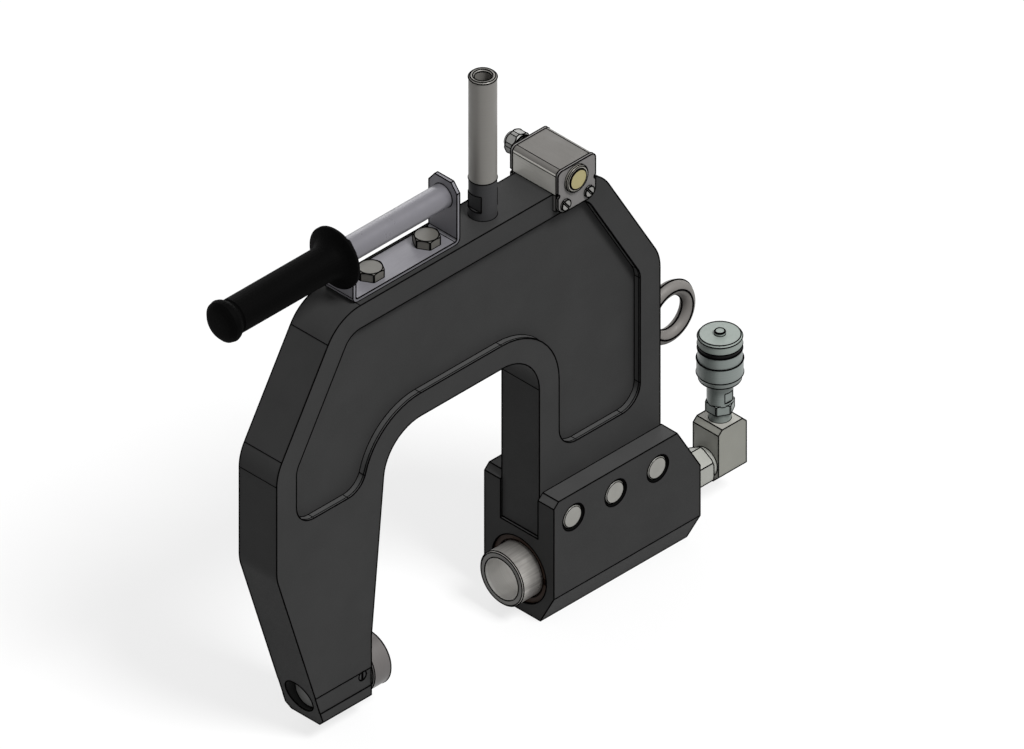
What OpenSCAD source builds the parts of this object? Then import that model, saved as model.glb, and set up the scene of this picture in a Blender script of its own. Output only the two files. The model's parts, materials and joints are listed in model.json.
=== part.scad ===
// Hydraulic riveter: a thick C-shaped plate holds an anvil in its left arm and a
// single-acting hydraulic cylinder, pinned to its right leg, that drives a ram at it.
// The origin is the centre of the anvil's face, on the riveting axis.
// +X runs from the anvil to the ram and +Z is up. All sizes are millimetres.

/* [Riveting axis] */
// Open distance between the anvil's face and the ram's face at rest
daylight = 140; // [110:1:180]
// Travel of the ram
stroke = 60; // [40:1:80]
// How far the ram stands out of the cylinder block at rest
ram_proud = 19; // [12:0.5:30]

/* [Frame plate] */
// Thickness of the C-shaped plate
frame_t = 40; // [34:1:50]
// Distance from the origin to the plate's left edge
frame_left = 120; // [110:1:140]
// Height of the plate's top edge above the riveting axis
frame_top = 348.3; // [330:0.1:380]
// Height where the sloping shoulders begin
shoulder_z = 235; // [225:1:250]
// Width of each sloping shoulder
shoulder_w = 66.5; // [50:0.5:80]
// Height where the left edge turns in towards the arm's tip
arm_turn_z = 139; // [120:1:160]
// Distance from the origin to the outer bottom corner of the arm's tip
tip_left = 69; // [60:1:80]
// Depth of the arm's tip below the riveting axis
tip_drop = 22.2; // [20:0.1:30]
// Height of the throat's top edge
throat_top = 214.3; // [200:0.1:225]
// How far the arm's inner edge leans in between its bend and the throat
arm_lean = 16.4; // [8:0.1:24]
// Height where the arm's inner edge begins to lean
arm_lean_z = 37; // [30:1:60]
// Width of the right leg
leg_w = 128.7; // [120:0.1:140]
// Radius of the plate's outer and throat corners
corner_r = 40; // [25:1:45]
// Depth of the shallow recess in each face of the plate
recess_d = 6.5; // [3:0.5:10]
// Width of the raised rim round the recess
rim_w = 21; // [15:0.5:26]
// Corner radius of the recess
recess_r = 19; // [10:1:22]
// Lower end of the recess in the arm
recess_arm_z = 176.5; // [165:0.5:190]
// Lower end of the recess in the leg
recess_leg_z = 108.5; // [95:0.5:130]
// Chamfer on the long bottom edges of the arm's tip
tip_chamfer = 5; // [2:0.1:7]
// Half the height of the machined band across the tip
tip_band_half = 8.25; // [6:0.05:10]
// Depth of that band in each side of the tip
tip_band_d = 0.3; // [0.1:0.05:0.5]

/* [Anvil] */
// Diameter of the anvil's head
anvil_d = 46; // [40:1:54]
// Thickness of the anvil's head
anvil_head = 19; // [14:0.5:26]
// Diameter of the anvil's shank
anvil_shank_d = 28.5; // [24:0.5:32]
// Length of the anvil's shank
anvil_shank_l = 48; // [40:1:52]
// Diameter of the socket for a rivet set in the anvil's face
set_socket_d = 16; // [10:0.5:20]
// Depth of that socket
set_socket_l = 20; // [12:1:30]
// Diameter of the set screw that holds the anvil
set_screw_d = 8; // [5:0.5:10]
// Distance of the set screw behind the arm's inner face
set_screw_in = 9; // [8:0.5:14]
// Height of the set screw above the riveting axis
set_screw_z = 4.5; // [0:0.5:5]

/* [Cylinder block] */
// Thickness of each ear of the block, beside the plate
ear_t = 17; // [14:0.5:22]
// Height of the block's top above the riveting axis
block_top = 78; // [74:0.5:90]
// Depth of the block's bottom below the riveting axis
block_drop = 37; // [35:0.5:44]
// Depth below the riveting axis where the block's sides start to taper
block_taper_drop = 10; // [5:0.5:16]
// Width of the block's flat bottom
block_base_w = 45; // [30:1:60]
// Height of the floor of the slot that takes the plate
slot_floor = 38.7; // [36:0.1:42]
// How far the leg sits back from the block's front face
leg_setback = 1.5; // [0:0.1:4]
// Chamfer on the front edge of the slot's floor
slot_chamfer = 1.3; // [0.4:0.1:2]
// Chamfer on the block's front top edge
block_front_chamfer = 5; // [2:0.5:8]
// Length of the slope on the block's rear top edge
rear_slope_l = 24.5; // [10:0.5:30]
// Height of that slope
rear_slope_h = 41.6; // [20:0.1:46]

/* [Clamp pins] */
// Number of pins that hold the block to the plate
pin_count = 3; // [2:1:3]
// Diameter of a pin
pin_d = 20; // [14:0.5:22]
// Distance between pins
pin_pitch = 45; // [34:0.5:48]
// Height of the pins above the riveting axis
pin_z = 56; // [53:0.5:60]
// Chamfer on the ends of a pin
pin_chamfer = 1.25; // [0.5:0.05:2]
// Chamfer on the mouths of the pin holes
pin_hole_chamfer = 1.5; // [0.5:0.1:2.5]

/* [Hydraulic cylinder] */
// Diameter of the ram's rod
ram_d = 46; // [42:0.5:50]
// Diameter of the die socket in the ram's face
ram_socket_d = 36; // [28:0.5:38]
// Depth of the die socket
ram_socket_l = 32; // [27:0.5:36]
// Thickness of the web behind the die socket
ram_web = 9; // [6:0.5:14]
// Diameter of the hollow for the return spring
ram_hollow_d = 34; // [32:0.5:38]
// How much wider than the rod the piston is on each side
piston_step = 4; // [3:0.1:5]
// Length of the piston at the ram's rear end
piston_l = 28; // [24:0.5:34]
// Wall of the gland round the rod
gland_wall = 6; // [5.4:0.1:7]
// Length of the gland that guides the rod
gland_l = 33; // [26:0.5:40]
// Free room behind the piston at rest
rear_room = 12.7; // [6:0.1:20]
// Length of the rear cover
rear_cover_l = 18; // [16:0.5:26]
// Thickness of the ring that retains the gland
circlip_t = 2; // [1.5:0.1:2.5]
// Depth of that ring behind the block's front face
circlip_in = 1.2; // [0.6:0.1:3]
// Width of the wiper's ring round the rod
wiper_w = 4.6; // [3:0.1:5]
// Length of the wiper's ring
wiper_l = 5; // [3:0.5:8]

/* [Return spring] */
// Diameter of the bolt that guides the spring
guide_bolt_d = 16; // [12:0.5:18]
// Diameter of the guide bolt's head
guide_head_d = 28; // [26:0.5:30]
// Thickness of the guide bolt's head
guide_head_t = 6; // [4:0.5:8]
// Thickness of the ring that the spring pushes on
retainer_t = 6; // [4:0.5:8]
// Diameter of the spring's wire
return_wire = 3; // [2:0.1:3.2]
// Mean diameter of the spring
return_mean_d = 25; // [23:0.5:26]
// Number of turns in the spring
return_turns = 8; // [5:1:9]

/* [Handle bracket and grip] */
// Distance from the riveting axis origin back to the bracket's left side
bracket_left = 33.5; // [28:0.5:40]
// Length of the bracket along the plate's top
bracket_l = 113.9; // [100:0.1:125]
// Width of the bracket
bracket_w = 30; // [28:0.5:40]
// Height of the bracket's two uprights
bracket_h = 53.9; // [51:0.1:60]
// Thickness of the bracket's sheet
bracket_t = 3; // [2:0.5:4]
// Chamfer on the upper corners of the uprights
bracket_chamfer = 8; // [4:0.5:10]
// Diameter of the handle bar
bar_d = 20; // [16:0.5:22]
// Height of the bar's axis above the plate's top
bar_rise = 38; // [34:0.5:40]
// Length of the bar that stands out to the left of the bracket
bar_reach = 120; // [100:1:130]
// Outer diameter of the grip
grip_d = 29; // [26:0.5:32]
// Length of the grip
grip_l = 126; // [120:1:134]
// Diameter of the grip's flange
grip_flange_d = 52; // [44:0.5:58]
// Length of the flare behind the flange
grip_flare_l = 15; // [11:0.5:20]
// Diameter of the bead at the grip's end
grip_bead_d = 35; // [32:0.5:40]
// Length of that bead
grip_bead_l = 11; // [10:0.5:15]
// Position of the middle of the two bolts that hold the bracket
bracket_bolt_x = 30; // [24:0.5:34]
// Distance between the two bolts that hold the bracket
bracket_bolt_pitch = 60; // [50:1:66]
// Thread diameter of those bolts
bracket_bolt_d = 12; // [8:0.5:12]
// Width across the flats of their heads
bracket_bolt_af = 19; // [16:0.5:20]
// Height of their heads
bracket_bolt_head = 7.5; // [5:0.5:9]

/* [Upright handle] */
// Position of the upright handle along the plate's top
post_x = 120; // [108:1:140]
// Diameter of the upright handle
post_d = 22; // [20:0.5:26]
// Height of its lower fitting
post_base_h = 33.7; // [28:0.1:40]
// Length of the tube above the fitting
post_tube_h = 94; // [70:1:120]
// Bore of the tube
post_bore_d = 13; // [10:0.5:14]
// Width across the fitting's spanner flats
post_flats = 17; // [16:0.5:19]
// Chamfer at the top of the tube
post_chamfer = 1.2; // [0.5:0.1:2]

/* [Switch box] */
// Position of the box's middle along the plate's top
box_x = 195; // [188:0.5:197]
// Length of the box along the plate
box_l = 40; // [38:0.5:44]
// Height of the box above the plate's top
box_h = 21.9; // [21.5:0.1:26]
// Gap between the plate and each end plate of the box
box_side_gap = 3.2; // [2.5:0.1:5]
// Thickness of the bent cover
cover_t = 1.8; // [1:0.1:2]
// Corner radius of the box
box_r = 4.5; // [3:0.5:6]
// Thickness of the front and rear plates
end_plate_t = 2.2; // [1.5:0.1:3]
// How far the front and rear plates hang below the plate's top
end_plate_drop = 17.3; // [15:0.1:20]
// Radius of the lower corners of those plates
end_plate_r = 8; // [5:0.5:10]
// Radius of the notches in the side edges of those plates
end_notch_r = 1.8; // [1:0.1:2.5]
// Diameter of the screw heads on those plates
plate_screw_head_d = 9.5; // [8:0.1:10]
// Height of those screw heads
plate_screw_head_h = 1.8; // [1.6:0.1:3.2]
// Thread diameter of those screws
plate_screw_d = 5; // [4:0.5:6]
// Distance between the two screws of a plate
plate_screw_pitch = 25; // [23:0.5:28]
// Distance of the screws below the plate's top edge
plate_screw_drop = 10.3; // [9:0.1:12]

/* [Push button] */
// Distance of the button's axis from the box's middle, towards the bracket
button_offset = 1.5; // [0:0.1:2.5]
// Height of the button's axis above the plate's top
button_rise = 9; // [8.4:0.1:9.2]
// Diameter of the button's bezel
bezel_d = 22.9; // [21:0.1:24]
// Thickness of the bezel
bezel_t = 2.7; // [1.5:0.1:4]
// Diameter of the button's cap
button_d = 17.2; // [14:0.1:18]
// How far the cap stands out of the bezel
button_proud = 0.8; // [0.4:0.1:2]
// Travel of the button
button_travel = 2.5; // [1.5:0.1:3]
// Diameter of the button's threaded neck
neck_d = 19.6; // [19.2:0.1:20]

/* [Cable gland] */
// Width across the flats of the gland's nut
gland_nut_af = 18.7; // [17:0.1:20]
// Length of the gland's nut
gland_nut_l = 13; // [10:0.5:16]
// Length of the gland's hexagon at the plate
gland_hex_l = 5; // [4:0.5:8]
// Gap between that hexagon and the nut
gland_nut_gap = 2.5; // [1:0.1:4]
// Diameter of the opening for the cable
gland_hole_d = 8; // [5:0.5:9]

/* [Eye bolt] */
// Height of the eye bolt above the riveting axis
eye_z = 158.2; // [145:0.1:175]
// Outer diameter of the ring
eye_od = 54; // [50:0.5:60]
// Inner diameter of the ring
eye_id = 30; // [26:0.5:34]
// Distance from the plate's edge to the ring's middle
eye_reach = 28.4; // [26:0.1:34]
// Diameter of the collar
eye_collar_d = 30; // [26:0.5:34]
// Thickness of the collar
eye_collar_t = 8; // [5:0.5:8]
// Thread diameter
eye_thread_d = 12; // [10:0.5:16]

/* [Oil line] */
// Width across the flats of the port adapter
adapter_af = 27; // [24:0.5:30]
// Distance from the block's rear face to the end of the adapter's hexagon
adapter_reach = 38.3; // [34:0.1:44]
// Length of the adapter's hexagon
adapter_hex_l = 25.7; // [16:0.1:29]
// Diameter of the collar between the hexagon and the elbow
adapter_collar_d = 24.5; // [20:0.5:28]
// Length of that collar
adapter_collar_l = 4.9; // [4:0.1:10]
// Length of the elbow block
elbow_l = 29.7; // [26:0.1:34]
// Width of the elbow block
elbow_w = 27; // [25:0.5:32]
// Height of the elbow block's top above the riveting axis
elbow_top = 33.5; // [31:0.5:44]
// Depth of the elbow block's bottom below the riveting axis
elbow_drop = 14.6; // [12:0.1:17]
// Chamfer on the elbow's top edges
elbow_top_chamfer = 4; // [2:0.1:5]
// Chamfer on the elbow's long bottom edges
elbow_bottom_chamfer = 6; // [3:0.1:7]

/* [Quick coupler] */
// Diameter of the coupler's neck
coupler_neck_d = 17.5; // [15:0.5:19]
// Height of the neck
coupler_neck_h = 8.1; // [4:0.1:10]
// Width across the flats of the coupler's hexagon
coupler_af = 20; // [19:0.5:22]
// Height of the hexagon
coupler_hex_h = 8.4; // [5:0.1:10]
// Diameter of the coupler's barrel
barrel_d = 20.4; // [19:0.1:21]
// Height of the barrel below the sleeve
barrel_h = 20.4; // [18:0.1:26]
// Diameter of the sleeve
sleeve_d = 35.9; // [34:0.1:40]
// Diameter of the sleeve's upper part
sleeve_top_d = 34.4; // [33:0.1:35.5]
// Height of the sleeve
sleeve_h = 28.3; // [26:0.1:32]
// Travel of the sleeve
sleeve_travel = 5; // [3:0.1:5]
// Travel of the valve's poppet
poppet_travel = 3; // [2:0.1:3]
// Thickness of the band under the dust cap
band_t = 3.2; // [2:0.1:5]
// Thickness of the dust cap
cap_t = 8.3; // [6:0.1:10]
// Diameter of the knob on the dust cap
knob_d = 8.3; // [6:0.1:10]
// Height of the knob
knob_h = 2.8; // [2:0.1:4]

/* [Fits] */
// Radial clearance of pieces that slide in one another
slide_gap = 0.05; // [0.03:0.01:0.08]
// Radial clearance of pieces that are pressed, screwed or set in a seat
seat_gap = 0.05; // [0.02:0.01:0.1]
// Gap between faces that only rest beside each other
rest_gap = 0.2; // [0.1:0.05:0.3]

/* [Hidden] */
$fn = 64;
arc_steps = 12;
iron = [0.22, 0.22, 0.22];
steel = [0.59, 0.58, 0.57];
zinc = [0.56, 0.56, 0.58];
blued = [0.3, 0.3, 0.31];
plated = [0.52, 0.55, 0.53];
rubber = [0.07, 0.07, 0.07];
polyurethane = [0.18, 0.11, 0.08];
spring_steel = [0.45, 0.45, 0.47];

// Riveting axis, from left to right
block_x = daylight + ram_proud;
circlip_x = block_x + circlip_in;
gland_x = circlip_x + circlip_t + 0.1;
gland_end = gland_x + gland_l;
piston_x = gland_end + stroke + 1;
piston_end = piston_x + piston_l;
rear_cover_x = piston_end + rear_room;
block_end = rear_cover_x + rear_cover_l;
bore_d = ram_d + 2 * piston_step;
gland_d = ram_d + 2 * gland_wall;
block_w = frame_t + 2 * ear_t;
hollow_x = daylight + ram_socket_l + ram_web;
guide_head_x = hollow_x + 1;
spring_x = guide_head_x + guide_head_t;
retainer_x = piston_end - retainer_t;
ring_slot = 2.4;
circlip_inner_d = ram_d + 3;
circlip_gap = 5;
wiper_x = gland_x;
wiper_lip = 1.4;
rod_seal_l = 7;
rod_seal_w = 3.6;
rod_seal_x = wiper_x + wiper_l + 4;
o_ring_l = 4;
o_ring_w = 2.4;
gland_ring_x = gland_end - 9;
cover_ring_x = rear_cover_x + 5;
piston_seal_l = 7;
piston_seal_w = 3.4;
piston_seal_x = piston_x + 6;
guide_ring_l = 8;
guide_ring_w = 2;
guide_ring_x = piston_seal_x + piston_seal_l + 4;
guide_bolt_end = rear_cover_x + 9;
spanner_hole_d = 6;
spanner_hole_r = gland_d / 2 - 7;
set_flat_w = set_screw_d + 3;
set_flat_in = 1.5;
set_slot_w = 1.2;

// Frame plate
leg_x = block_x + leg_setback;
frame_right = leg_x + leg_w;
leg_bottom = slot_floor + rest_gap;
arm_face_x = -anvil_head;
lean_slope = arm_lean / (throat_top - arm_lean_z);
throat_centre = [
    arm_face_x + lean_slope * (throat_top - corner_r - arm_lean_z)
        + corner_r * sqrt(1 + lean_slope * lean_slope),
    throat_top - corner_r];
throat_rim_r = corner_r + rim_w;
arm_fillet_rise = recess_arm_z + recess_r - throat_centre.y;
arm_fillet_centre = throat_centre
    + [-sqrt(pow(throat_rim_r + recess_r, 2) - pow(arm_fillet_rise, 2)), arm_fillet_rise];
arm_fillet_angle = 180 - asin(arm_fillet_rise / (throat_rim_r + recess_r));
pin_mid = leg_x + leg_w / 2;
pin_xs = [for (i = [0:pin_count - 1]) pin_mid + (i - (pin_count - 1) / 2) * pin_pitch];
eye_stud_l = 23;
anvil_bore_d = anvil_shank_d + 2 * seat_gap;

// Top fittings
bar_z = frame_top + bar_rise;
grip_x = -bracket_left - 2.5;
bar_end = -bracket_left - bar_reach;
bracket_right = bracket_l - bracket_left;
bracket_bolt_xs = [bracket_bolt_x - bracket_bolt_pitch / 2, bracket_bolt_x + bracket_bolt_pitch / 2];
bracket_bolt_grip = 20;
post_stud_d = 12;
post_stud_l = 20;
post_spigot_l = 18;
post_spigot_d = post_bore_d - 2;
post_flats_h = 14.7;

// Switch box
box_y = frame_t / 2 + box_side_gap;
plate_y = box_y + end_plate_t;
button_z = frame_top + button_rise;
button_x = box_x - button_offset;
neck_back = plate_y - 13;
switch_l = 19;
switch_back = switch_l - neck_back;
switch_top = frame_top + box_h - cover_t - 0.3;
switch_w = 24;
pocket_drop = 5;
saddle_t = 2.5;
nut_d = 2 * (box_h - cover_t - button_rise - rest_gap);
nut_t = 2.4;
button_bore_d = button_d + 0.6;
button_head = button_travel + 5;
stem_d = 6;
button_wire = 1;
gland_z = frame_top + 8.7;
gland_neck_d = 15;
gland_neck_l = gland_nut_gap + 7;
gland_shank_l = 6;
gland_nut_d = gland_nut_af + 1.3;
gland_body_l = gland_shank_l + end_plate_t + gland_hex_l + gland_neck_l;
plate_screw_xs = [box_x - plate_screw_pitch / 2, box_x + plate_screw_pitch / 2];
plate_screw_z = frame_top - plate_screw_drop;
plate_screw_l = 12;
fine_edge = 0.3;
plate_screw_tip = plate_y - plate_screw_l - 1;
plate_slot_w = 1.4;
plate_slot_turn = 38;
nut_y = plate_y + gland_hex_l + gland_nut_gap;

// Oil line
hex_end = block_end + adapter_reach;
elbow_x = hex_end + adapter_collar_l;
coupler_x = elbow_x + elbow_l / 2 + 0.2;
seal_t = 2;
oil_way_d = 8;
guide_way_d = 5;
adapter_spigot_d = 16;
elbow_spigot_d = 14;
elbow_spigot_l = 10;
barrel_flat_in = 0.85;
barrel_flat_z = 2.1;
barrel_flat_h = 8.9;
coupler_spigot_d = 13;
coupler_spigot_l = 11.5;

// Quick coupler, heights from the elbow's top
neck_top = elbow_top + coupler_neck_h;
hex_top = neck_top + coupler_hex_h;
sleeve_z = hex_top + barrel_h;
sleeve_top = sleeve_z + sleeve_h;
flange_z = sleeve_z + 1;
flange_t = 5;
flange_d = 31.6;
ball_d = 3.8;
ball_count = 6;
ball_z = sleeve_top - 5;
mouth_d = 18;
upper_d = mouth_d + 8;
land_l = sleeve_top - flange_z - flange_t - sleeve_travel - 6.6;
chamber_d = 13.4;
chamber_z = hex_top + 6;
seat_z = sleeve_z + 6.5;
seat_d = 9;
mouth_z = seat_z + 3;
poppet_z = chamber_z + poppet_travel + 7.3;
poppet_nose = 6;
coupler_seal_z = mouth_z + 4;
coupler_seal_l = 2.4;
coupler_seal_w = 1.6;
coupler_wire = 1.2;
sleeve_bore_d = flange_d + 0.4;
sleeve_land_d = upper_d + 0.4;
sleeve_taper = 1.7;
sleeve_taper_h = 5.4;
sleeve_step_h = 10.2;
plug_z = coupler_seal_z - 0.6;
plug_d = mouth_d - 0.4;
band_z = sleeve_top + rest_gap;
cap_z = band_z + band_t;
cap_edge = 1.2;

function unit(v) = v / norm(v);

// Points of an arc that rounds the corner b between a and c
function corner_points(a, b, c, r) =
    let (
        u = unit(a - b), v = unit(c - b),
        half = acos(u * v) / 2,
        centre = b + unit(u + v) * r / sin(half),
        from = b + u * r / tan(half) - centre,
        to = b + v * r / tan(half) - centre,
        start = atan2(from.y, from.x),
        turn = atan2(from.x * to.y - from.y * to.x, from * to)
    )
    r == 0 ? [b] : arc_points(centre, r, start, turn);

// Points of an arc about a centre, from the start angle through the turn
function arc_points(centre, r, start, turn) =
    [for (i = [0:arc_steps])
        centre + r * [cos(start + turn * i / arc_steps), sin(start + turn * i / arc_steps)]];

// A closed outline with rounded corners, from a list of [point, radius], without the last few if asked
function rounded(corners, skipped = 0) =
    let (n = len(corners))
    [for (i = [0:n - 1 - skipped]) each corner_points(
        corners[(i + n - 1) % n][0], corners[i][0], corners[(i + 1) % n][0], corners[i][1])];

// The corner b moved inwards by d, for an outline that runs clockwise
function inset(a, b, c, d) =
    let (u = unit(b - a), v = unit(c - b), m = [u.y, -u.x], n = [v.y, -v.x])
    b + (m + n) * d / (1 + m * n);

function box_outline(l, low, high, low_r, high_r) = rounded([
    [[-l / 2, low], low_r], [[-l / 2, high], high_r],
    [[l / 2, high], high_r], [[l / 2, low], low_r]]);

// A plate of thickness t, with its outline in X and Z, centred on y
module upright_plate(outline, t, y = 0) {
    translate([0, y, 0]) rotate([90, 0, 0]) linear_extrude(t, center = true) polygon(outline);
}

module bar_along_x(x0, x1, d) {
    translate([x0, 0, 0]) rotate([0, 90, 0]) cylinder(h = x1 - x0, d = d);
}

module bar_along_y(x, z, y0, y1, d) {
    translate([x, y1, z]) rotate([90, 0, 0]) cylinder(h = y1 - y0, d = d);
}

module bar_along_z(x, z0, z1, d) {
    translate([x, 0, z0]) cylinder(h = z1 - z0, d = d);
}

// A solid turned about the riveting axis, from [radius, x] points
module turned_along_x(profile) {
    rotate([0, 90, 0]) rotate_extrude() polygon(profile);
}

// A ring about the X axis
module ring_along_x(x0, x1, inner_d, outer_d) {
    turned_along_x([[inner_d / 2, x0], [outer_d / 2, x0], [outer_d / 2, x1], [inner_d / 2, x1]]);
}

module ring_along_z(z0, z1, inner_d, outer_d) {
    rotate_extrude() polygon([[inner_d / 2, z0], [outer_d / 2, z0], [outer_d / 2, z1], [inner_d / 2, z1]]);
}

// A hexagonal prism along Z with chamfered corners
module hex_head(af, h, corner_d) {
    intersection() {
        cylinder(h = h, d = af / cos(30), $fn = 6);
        rotate_extrude() polygon([
            [0, 0], [corner_d / 2, 0], [corner_d / 2, h - 0.8], [corner_d / 2 - 1.4, h], [0, h]]);
    }
}

// A helical spring along Z that fits between two faces length apart
module coil(mean_d, wire, length, turns) {
    sides = 6;
    steps = 14;
    rings = turns * steps;
    rise = (length - wire) / rings;
    points = [for (i = [0:rings], j = [0:sides - 1])
        let (a = 360 * i / steps, b = 360 * j / sides, r = mean_d / 2 + wire / 2 * cos(b))
        [r * cos(a), r * sin(a), wire / 2 + rise * i + wire / 2 * sin(b)]];
    walls = [for (i = [0:rings - 1], j = [0:sides - 1])
        let (k = (j + 1) % sides, p = i * sides, q = p + sides)
        each [[p + j, q + j, q + k], [p + j, q + k, p + k]]];
    ends = [[for (j = [0:sides - 1]) j], [for (j = [sides - 1:-1:0]) rings * sides + j]];
    polyhedron(points, concat(walls, ends), convexity = 8);
}

// The frame plate's corners, clockwise from the outer bottom corner of the arm's tip
frame_corners = [
    [[-tip_left, -tip_drop], 0],
    [[-frame_left, arm_turn_z], corner_r],
    [[-frame_left, shoulder_z], corner_r],
    [[-frame_left + shoulder_w, frame_top], corner_r],
    [[frame_right - shoulder_w, frame_top], corner_r],
    [[frame_right, shoulder_z], corner_r],
    [[frame_right, leg_bottom], 0],
    [[leg_x, leg_bottom], 0],
    [[leg_x, throat_top], corner_r],
    [[arm_face_x + arm_lean, throat_top], corner_r],
    [[arm_face_x, arm_lean_z], 0],
    [[arm_face_x, -tip_drop], 0]
];

function frame_inset(i) =
    inset(frame_corners[i - 1][0], frame_corners[i][0], frame_corners[i + 1][0], rim_w);

recess_corners = [
    [[-frame_left + rim_w, recess_arm_z], recess_r],
    for (i = [2:5]) [frame_inset(i), recess_r],
    [[frame_right - rim_w, recess_leg_z], recess_r],
    [[leg_x + rim_w, recess_leg_z], recess_r],
    [frame_inset(8), corner_r + rim_w],
    [frame_inset(9), 0],
    [[arm_fillet_centre.x, recess_arm_z], 0]
];

// The recess follows the throat's round corner on the arm's side, then turns straight into its lower end
recess_outline = concat(
    rounded(recess_corners, 2),
    arc_points(throat_centre, throat_rim_r, 90, arm_fillet_angle - 90),
    arc_points(arm_fillet_centre, recess_r, arm_fillet_angle - 180, 90 - arm_fillet_angle));

module c_frame() {
    color(iron)
    difference() {
        upright_plate(rounded(frame_corners), frame_t);
        for (side = [-1, 1])
            upright_plate(recess_outline, 2 * recess_d, side * frame_t / 2);
        for (side = [0, 1])
            mirror([0, side, 0]) tip_cut();
        bar_along_x(-frame_left - 5, arm_face_x + 5, anvil_bore_d);
        bar_along_y(arm_face_x - set_screw_in, set_screw_z, -frame_t, 0, set_screw_d + 2 * seat_gap);
        for (x = pin_xs)
            bar_along_y(x, pin_z, -frame_t, frame_t, pin_d + 2 * seat_gap);
        translate([0, 0, eye_z])
            bar_along_x(frame_right - eye_stud_l - 2, frame_right + 5, eye_thread_d + 2 * seat_gap);
        for (x = bracket_bolt_xs)
            bar_along_z(x, frame_top - bracket_bolt_grip - 2, frame_top + 5, bracket_bolt_d + 2 * seat_gap);
        bar_along_z(post_x, frame_top - post_stud_l - 2, frame_top + 5, post_stud_d + 2 * seat_gap);
        translate([button_x - switch_w / 2 - 1, -frame_t / 2 - 1, frame_top - pocket_drop])
            cube([switch_w + 2, frame_t / 2 + 1 + switch_back + 1, pocket_drop + 5]);
        for (x = plate_screw_xs, side = [-1, 1])
            bar_along_y(x, plate_screw_z, side < 0 ? -frame_t : plate_screw_tip,
                side < 0 ? -plate_screw_tip : frame_t, plate_screw_d + 2 * seat_gap);
    }
}

// The chamfer and the shallow band that are cut from one side of the arm's tip
module tip_cut() {
    half = frame_t / 2;
    translate([-frame_left, 0, 0]) rotate([90, 0, 90])
        linear_extrude(frame_left + arm_face_x + 5) {
            polygon([
                [half + 1, tip_chamfer - tip_drop + 1], [half + 1, -tip_drop - 1],
                [half - tip_chamfer - 1, -tip_drop - 1]]);
            translate([half - tip_band_d, -tip_band_half]) square([tip_band_d + 1, 2 * tip_band_half]);
        }
}

module anvil() {
    color(steel)
    difference() {
        turned_along_x([
            [0, 0], [anvil_d / 2 - 1, 0], [anvil_d / 2, -1], [anvil_d / 2, -anvil_head + 1],
            [anvil_d / 2 - 1, -anvil_head], [anvil_shank_d / 2, -anvil_head],
            [anvil_shank_d / 2, -anvil_head - anvil_shank_l + 1],
            [anvil_shank_d / 2 - 1, -anvil_head - anvil_shank_l], [0, -anvil_head - anvil_shank_l]]);
        bar_along_x(-set_socket_l, 1, set_socket_d);
        translate([arm_face_x - set_screw_in - set_flat_w / 2, -anvil_shank_d, -anvil_shank_d / 2])
            cube([set_flat_w, anvil_shank_d / 2 + set_flat_in, anvil_shank_d]);
    }
}

module anvil_set_screw() {
    color(blued)
    difference() {
        bar_along_y(arm_face_x - set_screw_in, set_screw_z,
            -frame_t / 2 + 0.6, -anvil_shank_d / 2 + set_flat_in - rest_gap / 2, set_screw_d);
        translate([arm_face_x - set_screw_in - set_slot_w / 2, -frame_t / 2, set_screw_z - set_screw_d])
            cube([set_slot_w, 2.2, 2 * set_screw_d]);
    }
}

module cylinder_block() {
    slot_w = frame_t + 2 * seat_gap;
    color(iron)
    difference() {
        translate([block_x, 0, 0]) rotate([90, 0, 90]) linear_extrude(block_end - block_x) polygon([
            [-block_w / 2, block_top], [-block_w / 2, -block_taper_drop], [-block_base_w / 2, -block_drop],
            [block_base_w / 2, -block_drop], [block_w / 2, -block_taper_drop], [block_w / 2, block_top]]);
        translate([block_x - 1, -slot_w / 2, slot_floor])
            cube([block_end - block_x + 2, slot_w, block_top]);
        upright_plate([
            [block_x - 1, block_top + 1], [block_x - 1, block_top - block_front_chamfer - 1],
            [block_x + block_front_chamfer + 1, block_top + 1]], block_w + 2);
        upright_plate([
            [block_x - 1, slot_floor + 1], [block_x - 1, slot_floor - slot_chamfer - 1],
            [block_x + slot_chamfer + 1, slot_floor + 1]], slot_w);
        upright_plate([
            [block_end - rear_slope_l * 1.2, block_top + rear_slope_h * 0.2],
            [block_end + rear_slope_l * 0.2, block_top - rear_slope_h * 1.2],
            [block_end + rear_slope_l, block_top + rear_slope_h]], block_w + 2);
        bar_along_x(block_x - 1, gland_end, gland_d);
        bar_along_x(block_x, block_end, bore_d);
        bar_along_x(rear_cover_x, block_end + 1, gland_d);
        bar_along_x(circlip_x, circlip_x + circlip_t + 0.1, gland_d + ring_slot * 2);
        for (x = pin_xs) {
            bar_along_y(x, pin_z, -block_w, block_w, pin_d + 2 * seat_gap);
            for (side = [-1, 1])
                translate([x, side * block_w / 2, pin_z]) rotate([side * 90, 0, 0])
                    translate([0, 0, -1])
                    cylinder(h = pin_hole_chamfer + 1, d1 = pin_d + 2 * pin_hole_chamfer + 2, d2 = pin_d);
        }
    }
}

module clamp_pins() {
    half = block_w / 2 - 0.5;
    color(zinc)
    for (x = pin_xs)
        translate([x, 0, pin_z]) rotate([90, 0, 0]) rotate_extrude() polygon([
            [0, -half], [pin_d / 2 - pin_chamfer, -half], [pin_d / 2, -half + pin_chamfer],
            [pin_d / 2, half - pin_chamfer], [pin_d / 2 - pin_chamfer, half], [0, half]]);
}

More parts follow.
